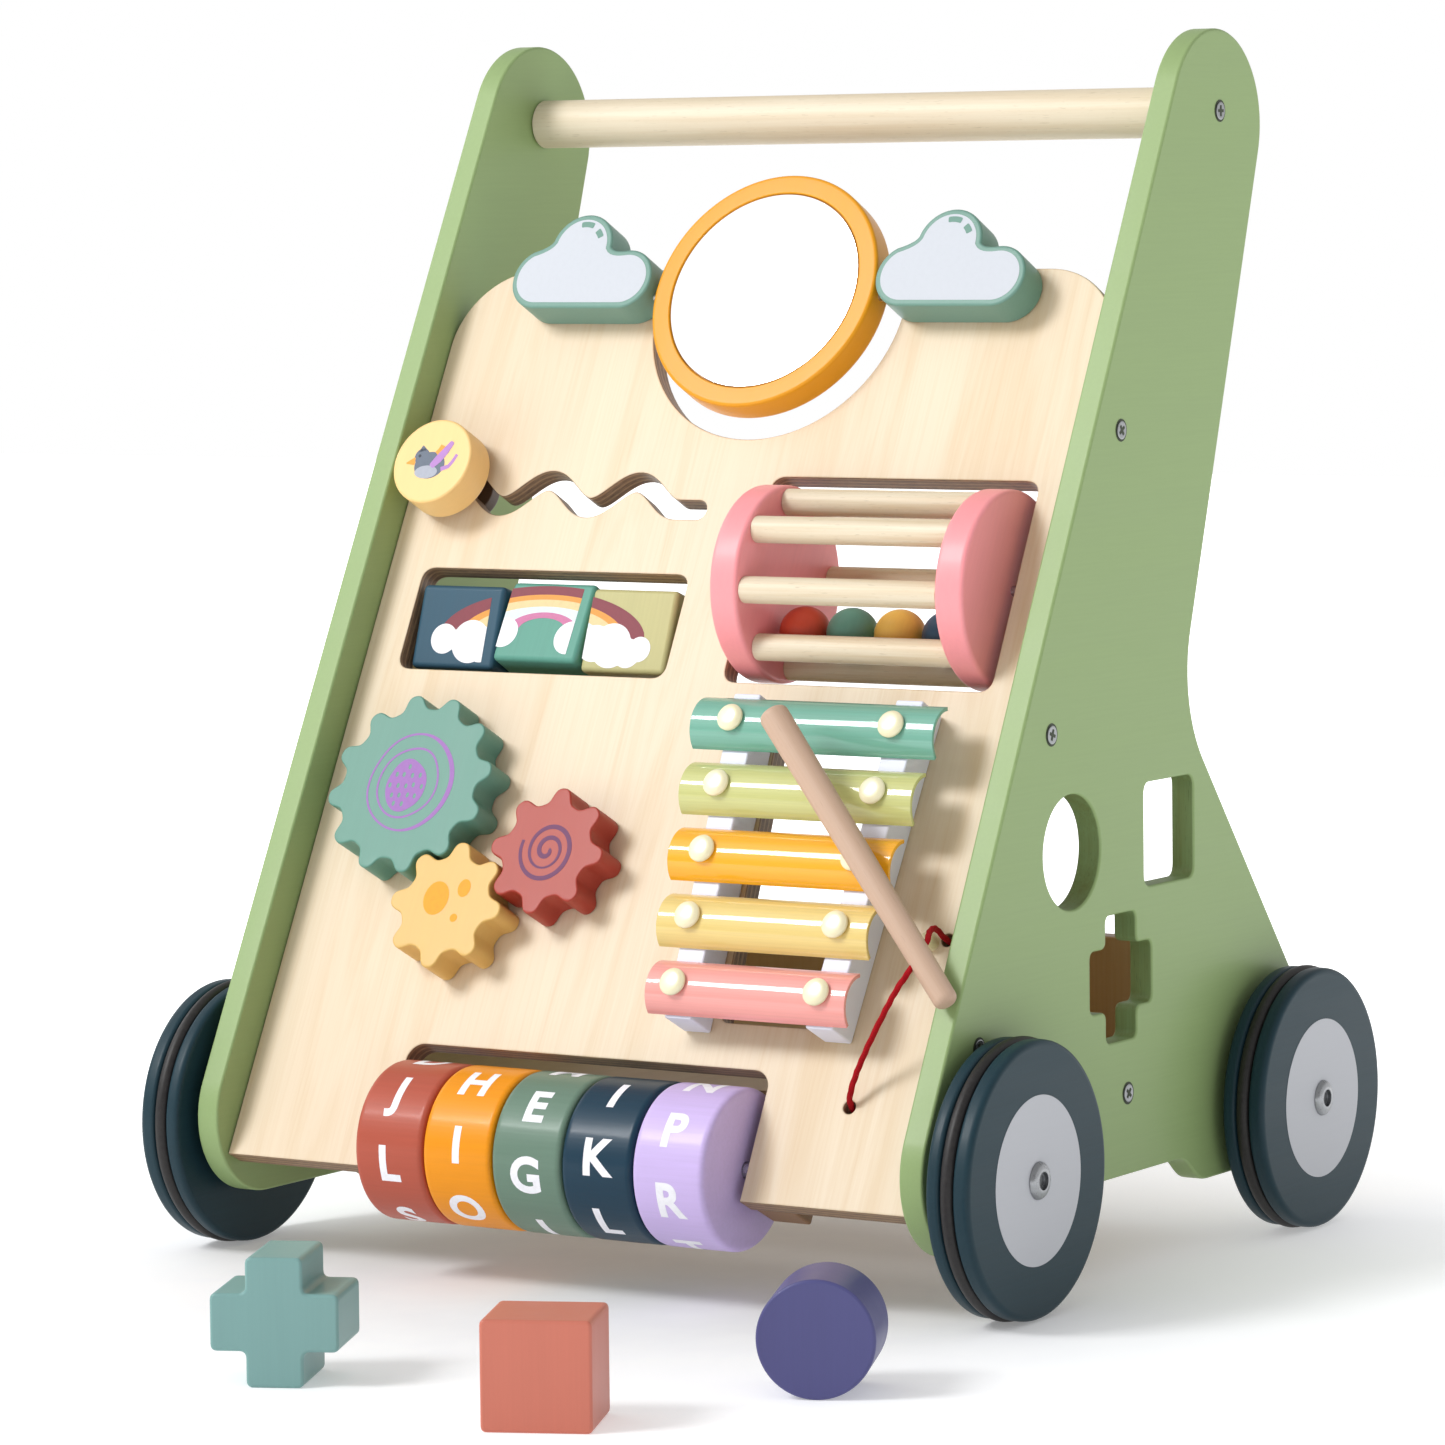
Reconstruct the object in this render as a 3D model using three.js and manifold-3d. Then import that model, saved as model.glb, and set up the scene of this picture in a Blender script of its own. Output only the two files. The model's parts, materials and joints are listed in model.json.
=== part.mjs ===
// Wooden baby walker: two side panels with a slanted activity board between them, four wheels,
// a push handle, turning and sliding toys on the board, and three sorting blocks on the floor.
//
// Millimetres, +Z up. X runs across the walker, -Y is the side with the toys.
// Inside the walker group, X = 0 is the middle of the walker and Y = 0 is the front axle.
import * as THREE from 'three';
import { mergeVertices } from 'three/addons/utils/BufferGeometryUtils.js';
import Module from 'manifold-3d';

const wasm = await Module();
wasm.setup();

// ---------------------------------------------------------------- driving dimensions
const GAP = 0.3;                    // play between pieces that touch
const PLY = 10;                     // thickness of every sheet piece
const HALF_WIDTH = 165;             // middle to the outer face of a side panel
const INNER = HALF_WIDTH - PLY;     // middle to the inner face of a side panel
const TILT = THREE.MathUtils.degToRad(27);  // lean of the activity board from upright
const FRONT_EDGE_Y = -77.4;         // where the panels' front edge line would meet the floor
const BOARD_RECESS = 15.2;          // board face behind the panels' front edge

const WHEEL_RADIUS = 52.5;
const WHEELBASE = 230;
const WHEEL_INNER_X = 169.9;
const WHEEL_OUTER_X = 188;
const BOLT_HEAD_X = 190.5;

const HANDLE = { y: 191, z: 445.5, radius: 10 };
const CENTRE_SHIFT = { x: -10, y: -10 };    // puts the middle of the whole set on the Z axis
const SET_FRONT_Y = -(WHEELBASE + WHEEL_RADIUS) - 2 * CENTRE_SHIFT.y;
const SET_RIGHT_X = BOLT_HEAD_X - 2 * CENTRE_SHIFT.x;

const deg = THREE.MathUtils.degToRad;
const walker = new THREE.Group();
walker.position.set(CENTRE_SHIFT.x, CENTRE_SHIFT.y, 0);

// Board frame: local X across, local Y up the slope, local Z straight out of the board's face.
const boardFrame = new THREE.Group();
boardFrame.position.set(
  0,
  FRONT_EDGE_Y + BOARD_RECESS * Math.cos(TILT),
  -BOARD_RECESS * Math.sin(TILT),
);
boardFrame.rotation.x = Math.PI / 2 - TILT;
walker.add(boardFrame);

// ---------------------------------------------------------------- materials
const paint = (color, roughness = 0.45) => new THREE.MeshStandardMaterial({ color, roughness });
const metal = (color, roughness = 0.3) =>
  new THREE.MeshStandardMaterial({ color, roughness, metalness: 1 });

const COLOURS = {
  sage: 0x9eb284,
  ply: 0xf0e0c4,
  beech: 0xcdb4a0,
  dowel: 0xe6cfa8,
  wheel: 0x3c525c,
  rubber: 0x2d2a2a,
  cloud: 0x78a59b,
  amber: 0xf7be40,
};

// ---------------------------------------------------------------- helpers
function add(parent, name, geometry, material) {
  const mesh = new THREE.Mesh(geometry, material);
  mesh.name = name;
  parent.add(mesh);
  return mesh;
}

function extrude(shape, depth, curveSegments = 6) {
  return new THREE.ExtrudeGeometry(shape, { depth, bevelEnabled: false, curveSegments });
}

// Turned solid about local Y, from [radius, height] pairs.
function turn(profile, segments) {
  const points = profile.map(([radius, height]) => new THREE.Vector2(radius, height));
  return new THREE.LatheGeometry(points, segments);
}

// Plain round bar about local Y with its middle at the origin.
const bar = (radius, length, segments = 16) =>
  new THREE.CylinderGeometry(radius, radius, length, segments);

const alongX = (geometry) => geometry.rotateZ(-Math.PI / 2);
const alongZ = (geometry) => geometry.rotateX(Math.PI / 2);

function toSolid(geometry) {
  const plain = geometry.clone();
  plain.deleteAttribute('normal');
  plain.deleteAttribute('uv');
  const merged = mergeVertices(plain, 1e-4);
  return new wasm.Manifold(new wasm.Mesh({
    numProp: 3,
    vertProperties: merged.attributes.position.array,
    triVerts: new Uint32Array(merged.index.array),
  }));
}

function toGeometry(solid) {
  const mesh = solid.getMesh();
  const geometry = new THREE.BufferGeometry();
  geometry.setAttribute('position', new THREE.Float32BufferAttribute(mesh.vertProperties, 3));
  geometry.setIndex(new THREE.Uint32BufferAttribute(mesh.triVerts, 1));
  geometry.computeVertexNormals();
  return geometry;
}

function join(base, ...others) {
  return toGeometry(others.reduce((solid, other) => solid.add(toSolid(other)), toSolid(base)));
}

function cut(base, ...tools) {
  return toGeometry(tools.reduce((solid, tool) => solid.subtract(toSolid(tool)), toSolid(base)));
}

function circlePath(x, y, radius) {
  const path = new THREE.Path();
  path.absarc(x, y, radius, 0, 2 * Math.PI, true);
  return path;
}

// Closed outline through corner points, each corner rounded to the same radius.
function roundedOutline(path, corners, radius) {
  const at = (index) => corners[(index + corners.length) % corners.length];
  corners.forEach((corner, index) => {
    const before = at(index - 1).clone().sub(corner);
    const after = at(index + 1).clone().sub(corner);
    const half = Math.abs(before.angleTo(after)) / 2;
    const reach = radius / Math.tan(half);
    const start = corner.clone().addScaledVector(before.normalize(), reach);
    const end = corner.clone().addScaledVector(after.normalize(), reach);
    if (index === 0) path.moveTo(start.x, start.y);
    else path.lineTo(start.x, start.y);
    path.quadraticCurveTo(corner.x, corner.y, end.x, end.y);
  });
  path.closePath();
  return path;
}

function rectangleCorners(x, y, width, height) {
  return [[-1, -1], [1, -1], [1, 1], [-1, 1]].map(
    ([i, j]) => new THREE.Vector2(x + (i * width) / 2, y + (j * height) / 2));
}

function crossCorners(x, y, span, arm) {
  const s = span / 2;
  const a = arm / 2;
  const quarter = [[s, -a], [s, a], [a, a]];
  const corners = [];
  for (let turnIndex = 0; turnIndex < 4; turnIndex += 1) {
    for (const [i, j] of quarter) {
      corners.push(new THREE.Vector2(i, j).rotateAround(new THREE.Vector2(), turnIndex * Math.PI / 2)
        .add(new THREE.Vector2(x, y)));
    }
  }
  return corners;
}

// ---------------------------------------------------------------- side panels
const PANEL = {
  top: { y: 189, z: 441, radius: 37 },
  frontFoot: { y: -12.9, z: 56, radius: 32 },
  rearFoot: { y: 229.5, z: 64, radius: 38 },
  rearLean: deg(17.7),      // rear edge above the waist, from upright
  flareLean: deg(39),       // rear edge below the waist, from upright
  waistRadius: 55,
  archZ: 37,
  archY: [68, 150],
  stepLength: 26,
};

const SORTER = {
  circle: { y: 68.5, z: 165.7, radius: 21.9 },
  square: { y: 145.6, z: 166.9, side: 40.2 },
  cross: { y: 106.3, z: 113.9, span: 49, arm: 24 },
};

// Centre of the waist's arc: it lies outside both rear lines at the waist radius.
function waistCentre() {
  const { top, rearFoot, rearLean, flareLean, waistRadius } = PANEL;
  const n1 = { y: Math.cos(rearLean), z: -Math.sin(rearLean) };
  const n2 = { y: Math.cos(flareLean), z: Math.sin(flareLean) };
  const d1 = n1.y * top.y + n1.z * top.z + top.radius + waistRadius;
  const d2 = n2.y * rearFoot.y + n2.z * rearFoot.z + rearFoot.radius + waistRadius;
  const det = n1.y * n2.z - n1.z * n2.y;
  return { y: (d1 * n2.z - d2 * n1.z) / det, z: (n1.y * d2 - n2.y * d1) / det };
}

function panelShape(withSorterHoles) {
  const { top, frontFoot, rearFoot, rearLean, flareLean, archZ, archY, stepLength } = PANEL;
  const waist = waistCentre();
  const frontAngle = Math.PI - TILT;
  const rearZ = rearFoot.z - rearFoot.radius;
  const frontZ = frontFoot.z - frontFoot.radius;
  const ease = stepLength / 2;
  const shape = new THREE.Shape();
  shape.moveTo(archY[0] - stepLength, frontZ);
  shape.bezierCurveTo(archY[0] - ease, frontZ, archY[0] - ease, archZ, archY[0], archZ);
  shape.lineTo(archY[1], archZ);
  shape.bezierCurveTo(archY[1] + ease, archZ, archY[1] + ease, rearZ, archY[1] + stepLength, rearZ);
  shape.absarc(rearFoot.y, rearFoot.z, rearFoot.radius, -Math.PI / 2, flareLean, false);
  shape.absarc(waist.y, waist.z, PANEL.waistRadius, Math.PI + flareLean, Math.PI - rearLean, true);
  shape.absarc(top.y, top.z, top.radius, -rearLean, frontAngle, false);
  shape.absarc(frontFoot.y, frontFoot.z, frontFoot.radius, frontAngle, 1.5 * Math.PI, false);
  shape.closePath();
  for (const axleY of [0, WHEELBASE]) shape.holes.push(circlePath(axleY, WHEEL_RADIUS, 4 + GAP));
  if (withSorterHoles) {
    const { circle, square, cross } = SORTER;
    shape.holes.push(circlePath(circle.y, circle.z, circle.radius));
    const squareHole = rectangleCorners(square.y, square.z, square.side, square.side);
    shape.holes.push(roundedOutline(new THREE.Path(), squareHole, 5));
    const crossHole = crossCorners(cross.y, cross.z, cross.span, cross.arm);
    shape.holes.push(roundedOutline(new THREE.Path(), crossHole, 3.5));
  }
  return shape;
}

// Frame for outlines drawn in (Y, Z) and extruded along X.
function sideFrame(x) {
  const frame = new THREE.Group();
  const basis = new THREE.Matrix4().makeBasis(
    new THREE.Vector3(0, 1, 0), new THREE.Vector3(0, 0, 1), new THREE.Vector3(1, 0, 0));
  frame.setRotationFromMatrix(basis);
  frame.position.x = x;
  walker.add(frame);
  return frame;
}

function addSidePanels() {
  const sage = paint(COLOURS.sage, 0.5);
  add(sideFrame(-HALF_WIDTH), 'side_panel_left', extrude(panelShape(false), PLY, 6), sage);
  add(sideFrame(INNER), 'side_panel_right', extrude(panelShape(true), PLY, 5), sage);
}

// ---------------------------------------------------------------- activity board
const BOARD = {
  halfWidth: INNER - GAP,
  bottom: 55,
  top: 440,
  topCorner: 35,
  mirrorCut: { y: 423, radius: 57.8 },
  notch: { halfWidth: 82.5, top: 106, corner: 7 },
  slotCorner: 6,
};

const WAVE = {
  startX: -133.2,
  lastValleyX: -24,
  endX: -14.2,
  middle: 340,
  amplitude: 5.75,
  period: 42.2,
  halfSlot: 4.15,
};

const CUBES = {
  slot: { x: -73.7, y: 284.3, width: 127.4, height: 44 },
  axisZ: -18.5,
  width: 40,
  side: 34.5,
  pitch: 41,
  corner: 5,
  axleRadius: 3,
};

const DRUM = {
  slot: { x: 77.5, y: 305.5, width: 120, height: 87.2 },
  axisZ: -PLY / 2,
  radius: 38.8,
  discWidth: 12.5,
  length: 113,
  rodCircle: 32.2,
  rodRadius: 5.3,
  rods: 8,
  pinRadius: 2,
};

const CHIMES = {
  x: 77.5,
  firstY: 237.7,
  pitch: 26.8,
  lengths: [108, 103, 98, 93, 88],
  width: 21.5,
  rise: 6.5,
  sheet: 1.5,
  railWidth: 12,
  railHeight: 16,
  railY: [119, 251],
  railOffset: [31.1, 36.2],      // rail middle from the chimes' middle, at the lower and upper end
  slotHalf: [22.5, 29.5],
  slotY: [124, 245],
};

const ROLLERS = {
  y: 68.7,
  axisZ: -PLY / 2,
  radius: 30.7,
  width: 31.2,
  pitch: 31.7,
  count: 5,
  axleRadius: 3,
};

const GEARS = { module: 5.9, thickness: 15, liftOff: 0.4, pegRadius: 4, pegHeight: 12 };
const YELLOW_GEAR = { x: -72.5, y: 158.2, teeth: 8, phase: deg(42.5) };
const TEAL_GEAR = { teeth: 12, direction: deg(123.2) };
const CORAL_GEAR = { teeth: 8, direction: deg(31.5) };

const CORD = {
  radius: 1.2,
  upperHole: { x: 144.4, y: 162.3 },
  lowerHole: { x: 119.7, y: 94.8 },
  holeRadius: 2.5,
  spare: 12,
  knot: 3.4,
  peg: { x: 138.2, y: 160.6, radius: 3, height: 5 },
};

// Height of the wavy slot's centre line at x, and its slope.
function waveAt(x) {
  const turnRate = (2 * Math.PI) / WAVE.period;
  const phase = Math.PI + (Math.min(x, WAVE.lastValleyX) - WAVE.lastValleyX) * turnRate;
  return {
    y: WAVE.middle + WAVE.amplitude * Math.cos(phase),
    slope: x < WAVE.lastValleyX ? -WAVE.amplitude * turnRate * Math.sin(phase) : 0,
  };
}

function wavySlot() {
  const steps = 30;
  const sides = { upper: [], lower: [] };
  for (let i = 0; i <= steps; i += 1) {
    const x = THREE.MathUtils.lerp(WAVE.startX, WAVE.endX, i / steps);
    const { y, slope } = waveAt(x);
    const normal = new THREE.Vector2(-slope, 1).normalize().multiplyScalar(WAVE.halfSlot);
    sides.upper.push(new THREE.Vector2(x + normal.x, y + normal.y));
    sides.lower.push(new THREE.Vector2(x - normal.x, y - normal.y));
  }
  const path = new THREE.Path();
  path.setFromPoints(sides.upper);
  const end = waveAt(WAVE.endX);
  path.absarc(WAVE.endX, end.y, WAVE.halfSlot, Math.PI / 2, -Math.PI / 2, true);
  for (const point of sides.lower.reverse()) path.lineTo(point.x, point.y);
  const start = waveAt(WAVE.startX);
  const lean = Math.atan(start.slope);
  path.absarc(WAVE.startX, start.y, WAVE.halfSlot, lean - Math.PI / 2, lean - 1.5 * Math.PI, true);
  return path;
}

function boardShape() {
  const { halfWidth, bottom, top, topCorner, mirrorCut, notch, slotCorner } = BOARD;
  const shape = new THREE.Shape();
  shape.moveTo(-halfWidth, bottom);
  shape.lineTo(-notch.halfWidth, bottom);
  shape.absarc(-notch.halfWidth + notch.corner, notch.top - notch.corner, notch.corner,
    Math.PI, Math.PI / 2, true);
  shape.absarc(notch.halfWidth - notch.corner, notch.top - notch.corner, notch.corner,
    Math.PI / 2, 0, true);
  shape.lineTo(notch.halfWidth, bottom);
  shape.lineTo(halfWidth, bottom);
  shape.absarc(halfWidth - topCorner, top - topCorner, topCorner, 0, Math.PI / 2, false);
  const rim = Math.asin((top - mirrorCut.y) / mirrorCut.radius);
  shape.absarc(0, mirrorCut.y, mirrorCut.radius, rim, Math.PI - rim, true);
  shape.absarc(-halfWidth + topCorner, top - topCorner, topCorner, Math.PI / 2, Math.PI, false);
  shape.closePath();

  for (const { slot } of [CUBES, DRUM]) {
    const corners = rectangleCorners(slot.x, slot.y, slot.width, slot.height);
    shape.holes.push(roundedOutline(new THREE.Path(), corners, slotCorner));
  }
  const [lowHalf, highHalf] = CHIMES.slotHalf;
  const [lowY, highY] = CHIMES.slotY;
  const chimeSlot = [[-lowHalf, lowY], [lowHalf, lowY], [highHalf, highY], [-highHalf, highY]]
    .map(([x, y]) => new THREE.Vector2(CHIMES.x + x, y));
  shape.holes.push(roundedOutline(new THREE.Path(), chimeSlot, 4));
  shape.holes.push(wavySlot());
  for (const hole of [CORD.upperHole, CORD.lowerHole]) {
    shape.holes.push(circlePath(hole.x, hole.y, CORD.holeRadius));
  }
  return shape;
}

function gearCentres() {
  const place = (gear) => {
    const distance = (GEARS.module * (gear.teeth + YELLOW_GEAR.teeth)) / 2;
    return {
      x: YELLOW_GEAR.x + distance * Math.cos(gear.direction),
      y: YELLOW_GEAR.y + distance * Math.sin(gear.direction),
    };
  };
  return { teal: place(TEAL_GEAR), yellow: YELLOW_GEAR, coral: place(CORAL_GEAR) };
}

function addActivityBoard() {
  const sheet = extrude(boardShape(), PLY, 4).translate(0, 0, -PLY);
  const rollerBore = alongX(bar(ROLLERS.axleRadius + GAP, 2 * (BOARD.notch.halfWidth + 8), 12))
    .translate(0, ROLLERS.y, ROLLERS.axisZ);
  const drumBore = alongX(bar(DRUM.pinRadius + GAP, DRUM.slot.width + 16, 12))
    .translate(DRUM.slot.x, DRUM.slot.y, DRUM.axisZ);
  const pegs = Object.values(gearCentres()).map(({ x, y }) =>
    alongZ(bar(GEARS.pegRadius, GEARS.pegHeight + 2, 12))
      .translate(x, y, GEARS.pegHeight / 2 - 1));
  const cordPeg = alongZ(turn([
    [0, -2], [CORD.peg.radius, -2], [CORD.peg.radius, CORD.peg.height - 1.5],
    [CORD.peg.radius * 0.6, CORD.peg.height], [0, CORD.peg.height],
  ], 12)).translate(CORD.peg.x, CORD.peg.y, 0);
  const bored = cut(sheet, rollerBore, drumBore);
  add(boardFrame, 'activity_board', join(bored, ...pegs, cordPeg), paint(COLOURS.ply, 0.55));
}

// ---------------------------------------------------------------- handle and rear boards
function addCrossPieces() {
  const dowel = paint(COLOURS.dowel, 0.5);
  const handle = add(walker, 'handle_bar', alongX(bar(HANDLE.radius, 2 * (INNER - GAP), 28)), dowel);
  handle.position.set(0, HANDLE.y, HANDLE.z);

  const ply = paint(COLOURS.ply, 0.6);
  const floorY = [22, 199.7];
  const floorZ = 68.6;
  const width = 2 * (INNER - GAP);
  const floor = new THREE.BoxGeometry(width, floorY[1] - floorY[0], PLY);
  add(walker, 'floor_board', floor, ply).position.set(0, (floorY[0] + floorY[1]) / 2, floorZ);
  const wallZ = [50, 116];
  const wall = new THREE.BoxGeometry(width, PLY, wallZ[1] - wallZ[0]);
  add(walker, 'rear_board', wall, ply)
    .position.set(0, floorY[1] + GAP + PLY / 2, (wallZ[0] + wallZ[1]) / 2);
}

// ---------------------------------------------------------------- wheels
const TYRE = { offset: 8.6, radius: 2.7 };
const RIM_RADIUS = WHEEL_RADIUS - 0.7;
const WHEEL_SEGMENTS = 24;

// Profile from the inner face outwards, with a groove for the rubber ring.
function wheelGeometry() {
  const width = WHEEL_OUTER_X - WHEEL_INNER_X;
  const bore = 4 + GAP;
  const ease = 2.2;
  const grooveHalf = TYRE.radius + GAP;
  const grooveFloor = WHEEL_RADIUS - 2 * TYRE.radius - GAP;
  return turn([
    [bore, 0],
    [RIM_RADIUS - ease, 0],
    [RIM_RADIUS, ease],
    [RIM_RADIUS, TYRE.offset - grooveHalf],
    [grooveFloor, TYRE.offset - grooveHalf],
    [grooveFloor, TYRE.offset + grooveHalf],
    [RIM_RADIUS, TYRE.offset + grooveHalf],
    [RIM_RADIUS, width - ease],
    [RIM_RADIUS - ease, width],
    [bore, width],
    [bore, 0],
  ], WHEEL_SEGMENTS);
}

// The ring stands a little proud of the wood and carries the wheel on the floor.
function tyreGeometry() {
  const centre = WHEEL_RADIUS - TYRE.radius;
  const sides = 6;
  const profile = [];
  for (let i = 0; i <= sides; i += 1) {
    const angle = ((i % sides) * 2 * Math.PI) / sides;
    const radius = centre + TYRE.radius * Math.cos(angle);
    profile.push([radius, TYRE.offset + TYRE.radius * Math.sin(angle)]);
  }
  return turn(profile, WHEEL_SEGMENTS);
}

// Bolt with head, spacer collar between wheel and panel, and the nut inside the panel.
function boltGeometry() {
  const shank = 4;
  const collar = 8;
  const nut = 7;
  const head = 6.5;
  return turn([
    [0, INNER - 5.5],
    [nut, INNER - 5.5],
    [nut, INNER - GAP],
    [shank, INNER - GAP],
    [shank, HALF_WIDTH + GAP],
    [collar, HALF_WIDTH + GAP],
    [collar, WHEEL_INNER_X - GAP],
    [shank, WHEEL_INNER_X - GAP],
    [shank, WHEEL_OUTER_X + GAP],
    [head, WHEEL_OUTER_X + GAP],
    [head, BOLT_HEAD_X],
    [0, BOLT_HEAD_X],
  ], 8);
}

function addWheels() {
  const wood = paint(COLOURS.wheel, 0.4);
  const rubber = paint(COLOURS.rubber, 0.75);
  const zinc = metal(0xc4c4c6);
  for (const [end, axleY] of [['front', 0], ['rear', WHEELBASE]]) {
    for (const [side, sign] of [['left', -1], ['right', 1]]) {
      const axle = new THREE.Group();
      axle.position.set(0, axleY, WHEEL_RADIUS);
      axle.rotation.z = -sign * Math.PI / 2;
      walker.add(axle);
      const hub = new THREE.Group();
      hub.position.y = WHEEL_INNER_X;
      axle.add(hub);
      add(hub, `wheel_${end}_${side}`, wheelGeometry(), wood);
      add(hub, `tyre_${end}_${side}`, tyreGeometry(), rubber);
      add(axle, `wheel_bolt_${end}_${side}`, boltGeometry(), zinc);
    }
  }
}

// ---------------------------------------------------------------- mirror between two clouds
const MIRROR = {
  y: 424,
  z: 8,
  radius: 51,
  thickness: 12.6,
  glassRadius: 42.6,
  glassThickness: 2,
  recess: 2.6,
  axleRadius: 2,
};
const CLOUD = { thickness: 16, leftX: -84, rightX: 88.3, y: [415, 416] };

function addMirror() {
  const { radius, thickness, glassRadius, glassThickness, recess } = MIRROR;
  const back = -thickness / 2;
  const front = thickness / 2;
  const ease = 1.2;
  const ring = turn([
    [0, back], [radius - ease, back], [radius, back + ease], [radius, front - ease],
    [radius - ease, front], [glassRadius + GAP, front], [glassRadius + GAP, front - recess],
    [0, front - recess],
  ], 32);
  const bore = alongX(bar(MIRROR.axleRadius + GAP, 2 * radius + 10, 8));
  const pivot = new THREE.Group();
  pivot.position.set(0, MIRROR.y, MIRROR.z);
  boardFrame.add(pivot);
  add(pivot, 'mirror_frame', cut(alongZ(ring), bore), paint(COLOURS.amber, 0.4));
  const glass = add(pivot, 'mirror_glass', alongZ(bar(glassRadius, glassThickness, 32)),
    metal(0xf4f6f8, 0.05));
  glass.position.z = front - recess + GAP + glassThickness / 2;
  add(pivot, 'mirror_axle', alongX(bar(MIRROR.axleRadius, 126, 8)), metal(0xb8b8ba));
}

// Three round lobes over a flat base, drawn about the middle of the base.
function cloudShape() {
  const left = { x: -23, y: 13.5, radius: 13.5 };
  const right = { x: 17.5, y: 13, radius: 13 };
  const crown = { x: -7, y: 27.5, radius: 14.5 };
  const shape = new THREE.Shape();
  shape.moveTo(left.x, 0);
  shape.absarc(right.x, right.y, right.radius, -Math.PI / 2, deg(100), false);
  shape.quadraticCurveTo(crown.x + crown.radius + 1.5, crown.y - 2.5, crown.x + crown.radius, crown.y);
  shape.absarc(crown.x, crown.y, crown.radius, 0, deg(170), false);
  shape.quadraticCurveTo(left.x + 0.5, crown.y,
    left.x + left.radius * Math.cos(deg(120)), left.y + left.radius * Math.sin(deg(120)));
  shape.absarc(left.x, left.y, left.radius, deg(120), deg(270), false);
  shape.closePath();
  return shape;
}

function addClouds() {
  const teal = paint(COLOURS.cloud, 0.45);
  for (const [name, x, y] of [
    ['cloud_left', CLOUD.leftX, CLOUD.y[0]],
    ['cloud_right', CLOUD.rightX, CLOUD.y[1]],
  ]) {
    const block = extrude(cloudShape(), CLOUD.thickness, 5).translate(x, y, GAP);
    const bore = alongX(bar(MIRROR.axleRadius + GAP, 130, 8)).translate(0, MIRROR.y, MIRROR.z);
    add(boardFrame, name, cut(block, bore), teal);
  }
}

// ---------------------------------------------------------------- knob in the wavy slot
function addSlider() {
  const knob = { radius: 18.5, from: 4.5, to: 19.5, stem: 2.2 };
  const retainer = { radius: 11, depth: 6 };
  const behind = -PLY - GAP;
  const start = waveAt(WAVE.startX);
  const profile = [
    [0, behind - retainer.depth / 2],
    [knob.stem, behind - retainer.depth / 2],
    [knob.stem, knob.from],
    [knob.radius - 0.8, knob.from],
    [knob.radius, knob.from + 0.8],
    [knob.radius, knob.to - 1],
    [knob.radius - 1, knob.to],
    [0, knob.to],
  ];
  const disc = add(boardFrame, 'slider_knob', alongZ(turn(profile, 24)), paint(0xfee1a0, 0.4));
  disc.position.set(WAVE.startX, start.y, 0);
  const socketTop = behind - retainer.depth / 2 - GAP;
  const cap = [
    [0, behind - retainer.depth],
    [retainer.radius, behind - retainer.depth],
    [retainer.radius, behind],
    [knob.stem + GAP, behind],
    [knob.stem + GAP, socketTop],
    [0, socketTop],
  ];
  const back = add(boardFrame, 'slider_retainer', alongZ(turn(cap, 16)), paint(COLOURS.dowel, 0.5));
  back.position.copy(disc.position);
}

// ---------------------------------------------------------------- picture cubes
function addPictureCubes() {
  const { slot, axisZ, width, side, pitch, corner, axleRadius } = CUBES;
  const section = roundedOutline(new THREE.Shape(), rectangleCorners(0, 0, side, side), corner);
  section.holes.push(circlePath(0, 0, axleRadius + GAP));
  const block = extrude(section, width, 5).translate(0, 0, -width / 2).rotateY(Math.PI / 2);
  const cubes = [['blue', 0x466e87, 9], ['teal', 0x78aa96, -2.6], ['lime', 0xd7d796, 7]];
  cubes.forEach(([colour, hex, lean], index) => {
    const cube = add(boardFrame, `picture_cube_${colour}`, block.clone(), paint(hex, 0.45));
    cube.position.set(slot.x + (index - 1) * pitch, slot.y, axisZ);
    cube.rotation.x = deg(lean);
  });

  const blockWidth = 12;
  const reach = slot.width / 2 + 1;
  const axle = add(boardFrame, 'cube_axle', alongX(bar(axleRadius, 2 * (reach + 9), 12)),
    metal(0xb8b8ba));
  axle.position.set(slot.x, slot.y, axisZ);
  for (const [name, sign] of [['left', -1], ['right', 1]]) {
    const height = 30;
    const depth = 19;
    const body = new THREE.BoxGeometry(blockWidth, height, depth)
      .translate(0, 0, -PLY - GAP - depth / 2 - axisZ);
    const bore = alongX(bar(axleRadius + GAP, blockWidth + 2, 12));
    const support = add(boardFrame, `cube_axle_block_${name}`, cut(body, bore),
      paint(COLOURS.dowel, 0.6));
    support.position.set(slot.x + sign * (reach + blockWidth / 2), slot.y, axisZ);
  }
}

// ---------------------------------------------------------------- ball drum
function discProfile(width, ease) {
  const r = DRUM.radius;
  return [
    [0, 0], [r - ease, 0], [r, ease], [r, width - ease], [r - ease, width], [0, width],
  ];
}

// Offset in the board frame at an angle measured from the walker's level Y direction.
function offsetFromLevel(radius, angle) {
  const onBoard = angle - boardFrame.rotation.x;
  return new THREE.Vector3(0, radius * Math.cos(onBoard), radius * Math.sin(onBoard));
}

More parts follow.
